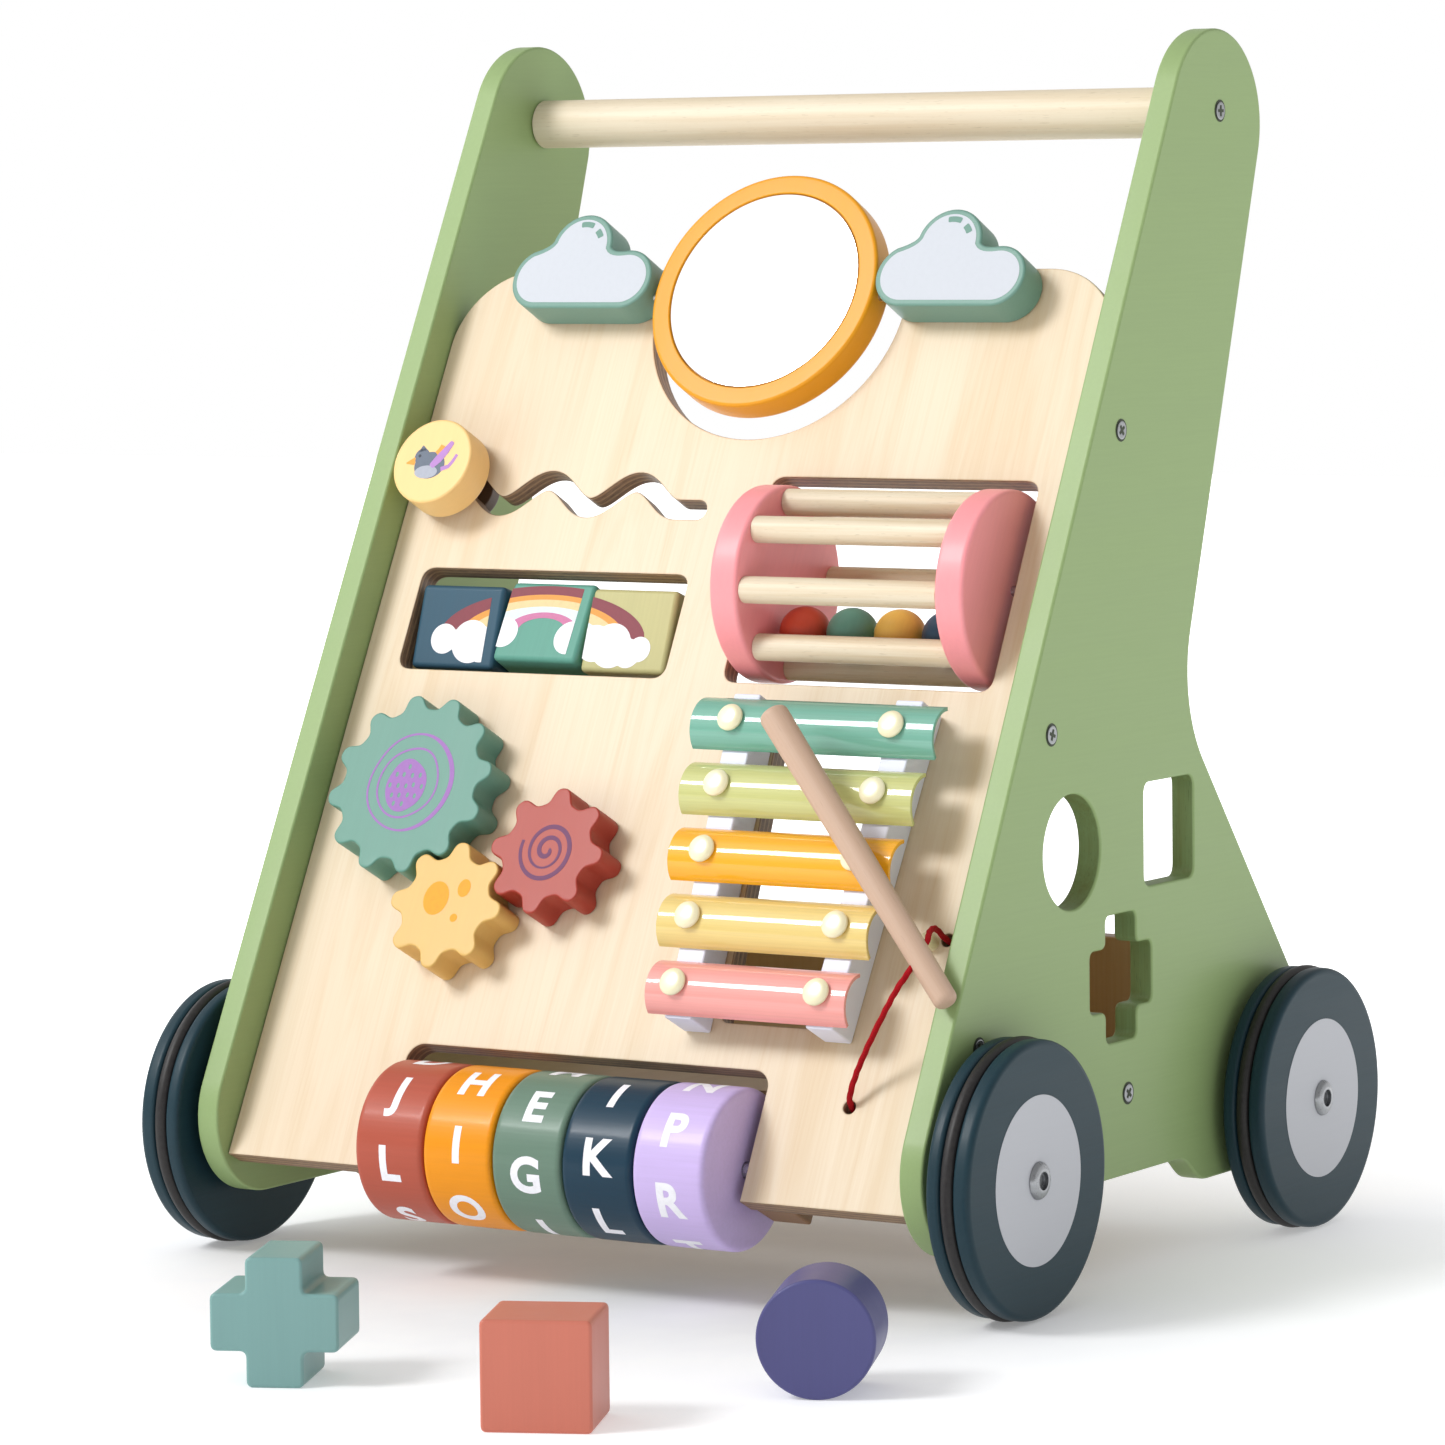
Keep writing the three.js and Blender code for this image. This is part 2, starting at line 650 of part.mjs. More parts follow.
function addBallDrum() {
  const { slot, axisZ, discWidth, length, rodCircle, rodRadius, rods, pinRadius } = DRUM;
  const pivot = new THREE.Group();
  pivot.position.set(slot.x, slot.y, axisZ);
  boardFrame.add(pivot);
  const pink = paint(0xeb9196, 0.4);
  const half = length / 2;
  const pinLength = 9;
  const disc = alongX(turn(discProfile(discWidth, 1.6), 24));
  const pin = (sign) => alongX(bar(pinRadius, pinLength, 8))
    .translate(sign * (half + pinLength / 2 - 1), 0, 0);

  const rodFrom = -half + discWidth - 1;
  const rodTo = half - discWidth - GAP;
  const rod = alongX(bar(rodRadius, rodTo - rodFrom, 8)).translate((rodFrom + rodTo) / 2, 0, 0);
  const cage = [];
  for (let i = 0; i < rods; i += 1) {
    const place = offsetFromLevel(rodCircle, Math.PI + (i * 2 * Math.PI) / rods);
    cage.push(rod.clone().translate(...place.toArray()));
  }
  const leftDisc = disc.clone().translate(-half, 0, 0);
  add(pivot, 'drum_cage', join(leftDisc, ...cage, pin(-1)), pink);
  const rightDisc = disc.clone().translate(half - discWidth, 0, 0);
  add(pivot, 'drum_disc_right', join(rightDisc, pin(1)), pink);

  const ball = { radius: 10.2, fromAxis: 19.3, angle: deg(-112.5) };
  const row = [['red', -32.1, 0xb43c28], ['green', -10.7, 0x55826e],
    ['yellow', 10.7, 0xd7a54b], ['navy', 32.1, 0x2d4b5f]];
  for (const [colour, x, hex] of row) {
    const sphere = new THREE.SphereGeometry(ball.radius, 12, 8);
    const mesh = add(pivot, `drum_ball_${colour}`, sphere, paint(hex, 0.35));
    mesh.position.copy(offsetFromLevel(ball.fromAxis, ball.angle)).setX(x);
  }
}

// ---------------------------------------------------------------- gears
// Round-toothed outline: the radius swings smoothly between root and tip.
function gearOutline(teeth, phase) {
  const pitchRadius = (GEARS.module * teeth) / 2;
  const swing = 3.1;
  const steepness = 1.5;
  const toothBias = 0.16;
  const stepsPerTooth = 8;
  const points = [];
  for (let i = 0; i < teeth * stepsPerTooth; i += 1) {
    const angle = (i * 2 * Math.PI) / (teeth * stepsPerTooth);
    const wave = Math.cos(teeth * (angle - phase)) - toothBias;
    const radius = pitchRadius - 0.45 + swing * Math.tanh(steepness * wave) / Math.tanh(steepness);
    points.push(new THREE.Vector2(radius * Math.cos(angle), radius * Math.sin(angle)));
  }
  return new THREE.Shape(points);
}

// Phase of a gear whose gap faces the yellow tooth that is nearest to the line of centres.
function meshingPhase(gear) {
  const toothStep = (2 * Math.PI) / YELLOW_GEAR.teeth;
  const lead = ((YELLOW_GEAR.phase - gear.direction) % toothStep + toothStep) % toothStep;
  const gapAngle = gear.direction + Math.PI - (lead * YELLOW_GEAR.teeth) / gear.teeth;
  return gapAngle + Math.PI / gear.teeth;
}

function addGears() {
  const centres = gearCentres();
  const gears = [
    ['gear_teal', centres.teal, TEAL_GEAR.teeth, meshingPhase(TEAL_GEAR), 0x91beb2],
    ['gear_yellow', centres.yellow, YELLOW_GEAR.teeth, YELLOW_GEAR.phase, 0xfde4a0],
    ['gear_coral', centres.coral, CORAL_GEAR.teeth, meshingPhase(CORAL_GEAR), 0xe17d64],
  ];
  for (const [name, centre, teeth, phase, hex] of gears) {
    const plate = extrude(gearOutline(teeth, phase), GEARS.thickness);
    const bore = alongZ(bar(GEARS.pegRadius + GAP, 2 * (GEARS.pegHeight - GEARS.liftOff + GAP), 16));
    const gear = add(boardFrame, name, cut(plate, bore), paint(hex, 0.45));
    gear.position.set(centre.x, centre.y, GEARS.liftOff);
  }
}

// ---------------------------------------------------------------- chime bars on two rails
const PIN = { shank: 2.4, head: 5.2, play: 0.3, dome: 3 };

// Rail middle at height y on the board, measured from the chimes' middle.
function railOffsetAt(y) {
  const [lowY, highY] = CHIMES.railY;
  return THREE.MathUtils.mapLinear(y, lowY, highY, ...CHIMES.railOffset);
}

const chimeY = (index) => CHIMES.firstY - index * CHIMES.pitch;

// The strip's section is part of a ring: its radius, half angle and height over the rails.
function chimeArch() {
  const { width, rise, sheet, railHeight } = CHIMES;
  const radius = ((width / 2) ** 2 + rise ** 2) / (2 * rise);
  const reach = Math.asin(width / 2 / radius);
  const lift = railHeight + GAP + sheet * Math.cos(reach);
  return { radius, reach, lift };
}

// Arched strip: its section bows away from the board, and the strip runs along X.
function chimeGeometry(length, y) {
  const { rise, sheet, railHeight } = CHIMES;
  const { radius, reach, lift } = chimeArch();
  const centre = rise - radius;
  const section = new THREE.Shape();
  section.absarc(0, centre, radius, Math.PI / 2 - reach, Math.PI / 2 + reach, false);
  section.absarc(0, centre, radius - sheet, Math.PI / 2 + reach, Math.PI / 2 - reach, true);
  section.closePath();
  const basis = new THREE.Matrix4().makeBasis(
    new THREE.Vector3(0, 1, 0), new THREE.Vector3(0, 0, 1), new THREE.Vector3(1, 0, 0));
  const strip = extrude(section, length, 4).translate(0, 0, -length / 2).applyMatrix4(basis)
    .translate(0, 0, lift);
  const holes = [-1, 1].map((sign) => alongZ(bar(PIN.shank + GAP, 30, 8))
    .translate(sign * railOffsetAt(y), 0, railHeight + 5));
  return cut(strip, ...holes);
}

function railGeometry(sign) {
  const { railWidth, railHeight, railY, rise } = CHIMES;
  const footprint = [[railY[0], -1], [railY[0], 1], [railY[1], 1], [railY[1], -1]].map(
    ([y, edge]) => new THREE.Vector2(sign * railOffsetAt(y) + (edge * railWidth) / 2, y));
  const body = extrude(new THREE.Shape(footprint), railHeight - GAP).translate(0, 0, GAP);
  const head = chimeArch().lift + rise + PIN.play;
  const pins = CHIMES.lengths.map((_, index) => {
    const y = chimeY(index);
    const profile = [
      [0, railHeight - 3], [PIN.shank, railHeight - 3], [PIN.shank, head], [PIN.head, head],
      [PIN.head, head + 0.8], [0, head + PIN.dome],
    ];
    return alongZ(turn(profile, 8)).translate(sign * railOffsetAt(y), y, 0);
  });
  return join(body, ...pins);
}

function addChimes() {
  const chimes = new THREE.Group();
  chimes.position.x = CHIMES.x;
  boardFrame.add(chimes);
  const colours = [['green', 0x6ea58c], ['lime', 0xcdd48c], ['orange', 0xfab90a],
    ['yellow', 0xf0d782], ['pink', 0xf5a5a0]];
  colours.forEach(([colour, hex], index) => {
    const y = chimeY(index);
    const strip = chimeGeometry(CHIMES.lengths[index], y);
    const mesh = add(chimes, `chime_bar_${colour}`, strip, metal(hex, 0.25));
    mesh.position.y = y;
  });
  const white = paint(0xe8e8f4, 0.6);
  add(chimes, 'chime_rail_left', railGeometry(-1), white);
  add(chimes, 'chime_rail_right', railGeometry(1), white);
}

// ---------------------------------------------------------------- mallet and its cord
const MALLET = {
  upper: new THREE.Vector3(72, 233.5, 42.4),
  lower: new THREE.Vector3(164, 130.4, 21),
  upperRadius: 5.8,
  lowerRadius: 4.6,
  holeFromLower: 23,
  bore: new THREE.Vector3(-0.2, -0.96, 0.2).normalize(),
};

const malletAxis = MALLET.upper.clone().sub(MALLET.lower).normalize();
const malletLength = MALLET.upper.distanceTo(MALLET.lower);
const malletHole = MALLET.lower.clone().addScaledVector(malletAxis, MALLET.holeFromLower);

function addMallet() {
  const { upperRadius, lowerRadius, lower } = MALLET;
  const ease = 2;
  const stick = turn([
    [0, 0], [lowerRadius - ease, 0.4], [lowerRadius, ease], [upperRadius, malletLength - ease],
    [upperRadius - ease, malletLength - 0.4], [0, malletLength],
  ], 12);
  const turnTo = new THREE.Quaternion().setFromUnitVectors(new THREE.Vector3(0, 1, 0), malletAxis);
  stick.applyQuaternion(turnTo).translate(...lower.toArray());
  const boreTurn = new THREE.Quaternion().setFromUnitVectors(new THREE.Vector3(0, 1, 0), MALLET.bore);
  const bore = bar(CORD.radius + 0.5, 4 * upperRadius, 8).applyQuaternion(boreTurn)
    .translate(...malletHole.toArray());
  add(boardFrame, 'mallet', cut(stick, bore), paint(COLOURS.beech, 0.6));
}

// From a knot behind the board, out of the upper hole in an arch and through the mallet,
// then down to the lower hole and its own knot. The spare length lets the mallet lift off.
function addCord() {
  const { radius, upperHole, lowerHole, spare, knot } = CORD;
  const behind = -PLY - GAP - spare - knot;
  const along = (distance) => malletHole.clone().addScaledVector(MALLET.bore, distance);
  const board = (hole, height) => new THREE.Vector3(hole.x, hole.y, height);
  const route = new THREE.CatmullRomCurve3([
    board(upperHole, behind),
    board(upperHole, -PLY),
    board(upperHole, -3),
    board(upperHole, 3),
    new THREE.Vector3(144.4, 162.8, 6),
    new THREE.Vector3(145.2, 162.5, 12),
    new THREE.Vector3(147.1, 158.9, 18),
    along(-6.5),
    along(-3),
    along(3),
    along(6.5),
    new THREE.Vector3(143.9, 131.8, 26.4),
    new THREE.Vector3(125.3, 105.8, 9.4),
    new THREE.Vector3(121.2, 97, 3.4),
    board(lowerHole, -4),
    board(lowerHole, -PLY),
    board(lowerHole, behind),
  ], false, 'centripetal');
  const section = new THREE.Shape().absarc(0, 0, radius, 0, 2 * Math.PI, false);
  const tube = new THREE.ExtrudeGeometry(section,
    { steps: 40, curveSegments: 4, extrudePath: route, bevelEnabled: false });
  const knots = [upperHole, lowerHole].map((hole) =>
    new THREE.SphereGeometry(knot, 8, 6).translate(...board(hole, behind).toArray()));
  add(boardFrame, 'mallet_cord', join(tube, ...knots), paint(0xbe1923, 0.85));
}

// ---------------------------------------------------------------- letter rollers
function addLetterRollers() {
  const { y, axisZ, radius, width, pitch, count, axleRadius } = ROLLERS;
  const bore = axleRadius + GAP;
  const ease = 2;
  const profile = [
    [bore, -width / 2], [radius - ease, -width / 2], [radius, -width / 2 + ease],
    [radius, width / 2 - ease], [radius - ease, width / 2], [bore, width / 2],
    [bore, -width / 2],
  ];
  const colours = [0xc35f50, 0xf5b414, 0x789b87, 0x2d5569, 0xc3aadc];
  for (let i = 0; i < count; i += 1) {
    const roller = add(boardFrame, `letter_roller_${i + 1}`, alongX(turn(profile, 24)),
      paint(colours[i], 0.35));
    roller.position.set((i - (count - 1) / 2) * pitch, y, axisZ);
  }
  const axleLength = 2 * (BOARD.notch.halfWidth + 7);
  const axle = add(boardFrame, 'roller_axle', alongX(bar(axleRadius, axleLength, 12)),
    metal(0xb8b8ba));
  axle.position.set(0, y, axisZ);

  const block = { width: 17, height: 40, depth: 14, bottom: 55.3 };
  for (const [name, sign] of [['left', -1], ['right', 1]]) {
    const body = new THREE.BoxGeometry(block.width, block.height, block.depth);
    const support = add(boardFrame, `roller_block_${name}`, body, paint(COLOURS.dowel, 0.6));
    support.position.set(sign * (BOARD.notch.halfWidth + 1 + block.width / 2),
      block.bottom + block.height / 2, -PLY - GAP - block.depth / 2);
  }
}

// ---------------------------------------------------------------- sorting blocks on the floor
const BLOCK_DEPTH = 36;
const BLOCK_TURN = deg(24);

// A block stands on the floor: its outline is upright and it runs back from its front face.
function addBlock(name, shape, segments, x, y, hex) {
  const block = extrude(shape, BLOCK_DEPTH, segments).translate(0, 0, -BLOCK_DEPTH).rotateX(Math.PI / 2)
    .rotateZ(BLOCK_TURN);
  add(walker, name, block, paint(hex, 0.45)).position.set(x, y, 0);
}

function addSortingBlocks() {
  const cube = 38.4;
  const cubeX = 138.1;
  const cubeY = SET_FRONT_Y + (cube / 2) * Math.sin(BLOCK_TURN);
  const square = roundedOutline(new THREE.Shape(), rectangleCorners(0, cube / 2, cube, cube), 2);
  addBlock('block_square', square, 2, cubeX, cubeY, 0xcd7a69);

  const span = 46;
  const cross = roundedOutline(new THREE.Shape(), crossCorners(0, span / 2, span, 20.5), 2.5);
  addBlock('block_cross', cross, 2, 14.5, -235.5, 0x82aca7);

  const radius = 21;
  const cylinderX = SET_RIGHT_X - radius * Math.cos(BLOCK_TURN);
  const round = new THREE.Shape();
  round.absarc(0, radius, radius, 0, 2 * Math.PI, false);
  addBlock('block_round', round, 12, cylinderX, -162, 0x646296);
}

addSidePanels();
addActivityBoard();
addCrossPieces();
addWheels();
addMirror();
addClouds();
addSlider();
addPictureCubes();
addBallDrum();
addGears();
addChimes();
addMallet();
addCord();
addLetterRollers();
addSortingBlocks();

export default walker;
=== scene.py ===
"""Looks of a wooden baby walker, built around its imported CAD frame.

Outlines and profiles are written in millimetres and scaled by MM when a mesh is made.
Board frame: X across the walker, Y up the slope of the activity board, Z out of its face.
"""

import json
import math
import random

import bmesh
import bpy
from mathutils import Matrix, Vector, noise


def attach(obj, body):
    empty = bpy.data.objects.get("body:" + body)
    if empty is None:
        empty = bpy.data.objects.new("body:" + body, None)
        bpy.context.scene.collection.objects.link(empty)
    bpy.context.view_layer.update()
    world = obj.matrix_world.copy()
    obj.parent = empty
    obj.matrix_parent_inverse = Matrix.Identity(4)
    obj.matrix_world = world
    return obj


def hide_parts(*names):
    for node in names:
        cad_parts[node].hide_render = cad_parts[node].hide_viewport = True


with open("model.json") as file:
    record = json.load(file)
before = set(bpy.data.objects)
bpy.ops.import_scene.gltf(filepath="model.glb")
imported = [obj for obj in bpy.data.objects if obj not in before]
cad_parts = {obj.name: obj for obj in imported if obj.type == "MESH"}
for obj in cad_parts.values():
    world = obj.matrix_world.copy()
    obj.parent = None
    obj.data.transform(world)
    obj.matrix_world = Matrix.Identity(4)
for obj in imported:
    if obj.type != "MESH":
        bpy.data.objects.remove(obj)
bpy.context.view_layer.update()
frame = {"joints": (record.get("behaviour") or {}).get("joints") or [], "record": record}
MM = 0.001
rad = math.radians
BODY_OF = {n: body for body, nodes in frame["record"]["behaviour"]["bodies"].items() for n in nodes}
PIVOT = {j["child"]: Vector(j["pos_m"]) for j in frame["joints"] if "pos_m" in j}

# ---------------- driving dimensions, in mm
TILT = rad(27)
FRONT_EDGE_Y = -77.4
BOARD_RECESS = 15.2
PLY = 10
HALF_WIDTH = 165
INNER = HALF_WIDTH - PLY
GAP = 0.3
AXLE_RADIUS = 3
WHEELBASE = 230
WHEEL_RADIUS = 52.5
WHEEL_INNER_X = 169.9
WHEEL_OUTER_X = 188
SIDES = (("left", -1), ("right", 1))

CENTRE_SHIFT = -10         # puts the middle of the whole set on the Z axis
WALKER = Matrix.Translation((CENTRE_SHIFT * MM, CENTRE_SHIFT * MM, 0))
BOARD = (
    WALKER
    @ Matrix.Translation((
        0,
        (FRONT_EDGE_Y + BOARD_RECESS * math.cos(TILT)) * MM,
        -BOARD_RECESS * math.sin(TILT) * MM,
    ))
    @ Matrix.Rotation(math.pi / 2 - TILT, 4, "X")
)


def place(base, x=0.0, y=0.0, z=0.0):
    """The frame base moved by millimetres along its own axes."""
    return base @ Matrix.Translation((x * MM, y * MM, z * MM))


ALONG_X = Matrix.Rotation(math.pi / 2, 4, "Y")      # turns local Z to point along X
ON_SIDE = Matrix(((0, 0, 1, 0), (1, 0, 0, 0), (0, 1, 0, 0), (0, 0, 0, 1)))   # local XY to world YZ

# ---------------- colours


def rgb(code):
    """Linear colour of an sRGB hex code."""
    parts = [int(code[i:i + 2], 16) / 255 for i in (0, 2, 4)]
    linear = [c / 12.92 if c <= 0.04045 else ((c + 0.055) / 1.055) ** 2.4 for c in parts]
    return (*linear, 1.0)


SAGE = "8FA76F"
SAGE_CUT = "7E9A66"
BIRCH = "DECCB0"
# Tray plywood: birch toned darker than the board's, as painted shade for the tray floor and wall
# deep inside the walker.
TRAY_PLY_SHADED = "BFA27C"
DOWEL = "E2D6BF"
# Roller supports: wood toned dark brown, as painted shade for their place under the board.
SUPPORT_WOOD_SHADED = "8E6C4E"
# Knob retainer: a dark wood colour that paints the shade behind the board.
RETAINER_WOOD_SHADED = "5C4A40"
MALLET_WOOD = "C6A994"
AMBER = "E0960A"
CLOUD_TEAL = "6C9386"
CLOUD_FACE = "C4C8CF"
KNOB_YELLOW = "F1C884"
DRUM_PINK = "F4999E"
WHEEL_BLUE = "1C3640"
RUBBER = "1D1B1B"
HUB_GREY = "BDBFC5"
RAIL_WHITE = "E6E8F6"
PIN_CREAM = "F2EBC6"
CORD_RED = "B00E1A"
INK_WHITE = "F2F2F8"
GEAR_COLOURS = {"teal": "5F9081", "yellow": "D8B064", "coral": "A43B2D"}
CHIME_COLOURS = {
    "green": "6FAB97",
    "lime": "C4C67E",
    "orange": "F6AC00",
    "yellow": "E3C878",
    "pink": "EE9E96",
}
BALL_COLOURS = {"red": "CF4E36", "green": "629382", "yellow": "EBBB58", "navy": "34526B"}
CUBE_COLOURS = {"blue": "2A5064", "teal": "5C9A89", "lime": "B9B47E"}
ROLLER_COLOURS = ["B1533F", "EB9302", "688372", "0E3448", "CBB6E8"]
BLOCK_COLOURS = {"square": "C6725F", "cross": "79A19E", "round": "4F4F81"}

# ---------------- node helpers


def new_material(name):
    material = bpy.data.materials.new(name)
    material.use_nodes = True
    tree = material.node_tree
    return material, tree, tree.nodes["Principled BSDF"]


def add_node(tree, kind, **settings):
    node = tree.nodes.new("ShaderNode" + kind)
    for key, value in settings.items():
        setattr(node, key, value)
    return node


def feed(tree, node, inputs):
    """Links or sets each named input of a node."""
    for name, value in inputs.items():
        if isinstance(value, bpy.types.NodeSocket):
            tree.links.new(value, node.inputs[name])
        else:
            node.inputs[name].default_value = value


def maths(tree, operation, *values):
    node = add_node(tree, "Math", operation=operation)
    feed(tree, node, dict(enumerate(values)))
    return node.outputs[0]


def grain(tree, scale, detail=4.0, roughness=0.6, distortion=0.0):
    """Noise stretched by a different scale along each local axis, per metre."""
    mapping = add_node(tree, "Mapping")
    feed(tree, mapping, {"Vector": add_node(tree, "TexCoord").outputs["Object"], "Scale": scale})
    texture = add_node(tree, "TexNoise")
    feed(tree, texture, {"Vector": mapping.outputs["Vector"], "Scale": 1.0, "Detail": detail,
                         "Roughness": roughness, "Distortion": distortion})
    return texture.outputs["Fac"]


def stretched(across, along_grain, axis):
    """Grain scale that is fine across the fibres and coarse along one local axis."""
    scale = [across] * 3
    scale[axis] = along_grain
    return scale


def ramp(tree, value, *stops):
    node = add_node(tree, "ValToRGB")
    elements = node.color_ramp.elements
    while len(elements) < len(stops):
        elements.new(0.5)
    for element, (position, colour) in zip(elements, stops):
        element.position = position
        element.color = colour
    tree.links.new(value, node.inputs["Fac"])
    return node.outputs["Color"]


def mix(tree, factor, first, second, blend="MIX"):
    node = add_node(tree, "Mix", data_type="RGBA", blend_type=blend)
    feed(tree, node, {"Factor": factor, "A": first, "B": second})
    return node.outputs["Result"]


def bump(tree, *layers):
    """Chain of bumps from (height socket, strength, distance in mm)."""
    below = {}
    for height, strength, distance in layers:
        node = add_node(tree, "Bump")
        feed(tree, node, {"Strength": strength, "Distance": distance * MM, "Height": height,
                          **below})
        below = {"Normal": node.outputs["Normal"]}
    return node.outputs["Normal"]


def mapped(tree, value, low, high):
    node = add_node(tree, "MapRange")
    feed(tree, node, {"Value": value, "To Min": low, "To Max": high})
    return node.outputs["Result"]


def shade(colour, factor):
    return (*[min(1.0, c * factor) for c in colour[:3]], 1.0)


def grey(level):
    return (level, level, level, 1.0)


def tint(colour, red, green, blue):
    return (colour[0] * red, colour[1] * green, colour[2] * blue, 1.0)


# ---------------- materials


def paint(name, code, roughness=0.38, along=1, streak=0.05, relief=0.25, coat=0.06,
          gloss=0.32):
    """Painted wood: the grain along one local axis shows faintly in tone, gloss and relief."""
    material, tree, shader = new_material(name)
    low, high = (shade(rgb(code), 1 + change) for change in (-streak, streak))
    fibres = grain(tree, stretched(700.0, 22.0, along), detail=5, roughness=0.65)
    clouds = grain(tree, stretched(60.0, 6.0, along), detail=3)
    speckle = grain(tree, (900.0, 900.0, 900.0), detail=2)
    tone = ramp(tree, fibres, (0.3, low), (0.7, high))
    wide = ramp(tree, clouds, (0.3, low), (0.75, high))
    feed(tree, shader, {
        "Base Color": mix(tree, 0.5, tone, wide),
        "Roughness": mapped(tree, clouds, roughness - 0.06, roughness + 0.08),
        "Normal": bump(tree, (fibres, relief, 0.12), (speckle, relief * 0.5, 0.05)),
        "Specular IOR Level": gloss,
        "Coat Weight": coat,
        "Coat Roughness": 0.16,
    })
    return material


def bare_wood(name, code, along=1, contrast=0.16, roughness=0.5, pores=0.35):
    """Clear-lacquered wood with fibres, broad figure and a few pores along one local axis."""
    material, tree, shader = new_material(name)
    colour = rgb(code)
    fibres = grain(tree, stretched(900.0, 14.0, along), detail=6, roughness=0.7)
    figure = grain(tree, stretched(75.0, 3.5, along), detail=4, distortion=0.6)
    pore = grain(tree, stretched(2200.0, 160.0, along), detail=1)
    warm = tint(colour, 1 - contrast * 0.8, 1 - contrast * 1.3, 1 - contrast * 2.0)
    tone = ramp(tree, fibres, (0.32, warm), (0.62, colour))
    wide = ramp(tree, figure, (0.35, warm), (0.6, colour), (0.85, shade(colour, 1.05)))
    wood = mix(tree, 0.55, tone, wide)
    dark = ramp(tree, pore, (0.26, shade(colour, 0.6)), (0.33, grey(1)))
    feed(tree, shader, {
        "Base Color": mix(tree, pores, wood, dark, "MULTIPLY"),
        "Roughness": mapped(tree, fibres, roughness - 0.08, roughness + 0.1),
        "Normal": bump(tree, (fibres, 0.25, 0.1), (pore, 0.2, 0.05)),
        "Coat Weight": 0.1,
        "Coat Roughness": 0.3,
    })
    return material


def plywood(name, code, edge_dark="5E4634", edge_light="B4926E", layers=7):
    """Birch plywood: long quiet figure on the faces, scorched layers on the cut edges.

    The sheet lies in local XY and its grain runs along Y.
    """
    material, tree, shader = new_material(name)
    colour = rgb(code)
    fibres = grain(tree, (800.0, 10.0, 800.0), detail=6, roughness=0.7)
    figure = grain(tree, (42.0, 3.2, 42.0), detail=6, roughness=0.62, distortion=1.4)
    blush = grain(tree, (9.0, 1.8, 9.0), detail=2)
    warm = tint(colour, 0.88, 0.78, 0.62)
    rosy = tint(colour, 0.96, 0.87, 0.8)
    tone = ramp(tree, fibres, (0.3, warm), (0.55, colour))
    wide = ramp(tree, figure, (0.34, warm), (0.52, colour), (0.72, shade(colour, 1.06)))
    flush = ramp(tree, blush, (0.45, grey(0)), (0.75, grey(0.45)))
    face = mix(tree, flush, mix(tree, 0.6, tone, wide), rosy)

    where = add_node(tree, "TexCoord")
    split = add_node(tree, "SeparateXYZ")
    feed(tree, split, {"Vector": where.outputs["Object"]})
    layer = maths(tree, "MULTIPLY", split.outputs["Z"], layers * math.pi / (PLY * MM))
    wobble = grain(tree, (70.0, 70.0, 300.0), detail=3)
    wave = maths(tree, "SINE", maths(tree, "MULTIPLY_ADD", wobble, 1.6, layer))
    streaks = grain(tree, (260.0, 260.0, 2400.0), detail=5, roughness=0.75)
    dark, light = rgb(edge_dark), rgb(edge_light)
    bands = ramp(tree, mapped(tree, wave, 0.0, 1.0), (0.2, dark), (0.8, light))
    scorch = ramp(tree, streaks, (0.35, dark), (0.65, light))

    facing = add_node(tree, "SeparateXYZ")
    feed(tree, facing, {"Vector": where.outputs["Normal"]})
    on_face = ramp(tree, maths(tree, "ABSOLUTE", facing.outputs["Z"]), (0.55, grey(0)),
                   (0.8, grey(1)))
    feed(tree, shader, {
        "Base Color": mix(tree, on_face, mix(tree, 0.55, bands, scorch), face),
        "Roughness": mapped(tree, fibres, 0.42, 0.58),
        "Normal": bump(tree, (fibres, 0.18, 0.08), (streaks, 0.12, 0.1)),
        "Coat Weight": 0.12,
        "Coat Roughness": 0.3,
    })
    return material


def enamel(name, code):
    """Thick glossy enamel on a bent steel strip, brushed along its length."""
    material, tree, shader = new_material(name)
    colour = rgb(code)
    drawn = grain(tree, (1300.0, 1300.0, 9.0), detail=4)
    feed(tree, shader, {
        "Base Color": ramp(tree, drawn, (0.3, shade(colour, 0.93)), (0.7, shade(colour, 1.04))),
        "Roughness": mapped(tree, drawn, 0.42, 0.55),
        "Normal": bump(tree, (drawn, 0.12, 0.06)),
        "Specular IOR Level": 0.3,
        "Coat Weight": 1.0,
        "Coat Roughness": 0.035,
    })
    return material


def zinc(name, code="C9C9CC", roughness=0.28):
    material, tree, shader = new_material(name)
    colour = rgb(code)
    wear = grain(tree, (500.0, 500.0, 500.0), detail=5)
    feed(tree, shader, {
        "Base Color": ramp(tree, wear, (0.3, shade(colour, 0.8)), (0.7, colour)),
        "Roughness": mapped(tree, wear, roughness - 0.1, roughness + 0.12),
        "Normal": bump(tree, (wear, 0.08, 0.05)),
        "Metallic": 1.0,
    })
    return material


def rubber(name):
    material, tree, shader = new_material(name)
    colour = rgb(RUBBER)
    dust = grain(tree, (400.0, 400.0, 400.0), detail=6, roughness=0.7)
    feed(tree, shader, {
        "Base Color": ramp(tree, dust, (0.35, colour), (0.75, shade(colour, 2.2))),
        "Roughness": mapped(tree, dust, 0.36, 0.6),
        "Normal": bump(tree, (dust, 0.25, 0.1)),
        "Specular IOR Level": 0.4,
    })
    return material


def mirror(name):
    material, tree, shader = new_material(name)
    haze = grain(tree, (30.0, 30.0, 30.0), detail=3)
    feed(tree, shader, {
        "Base Color": ramp(tree, haze, (0.3, (0.93, 0.94, 0.95, 1)), (0.8, (0.97, 0.97, 0.98, 1))),
        "Roughness": mapped(tree, haze, 0.01, 0.04),
        "Metallic": 1.0,
    })
    return material


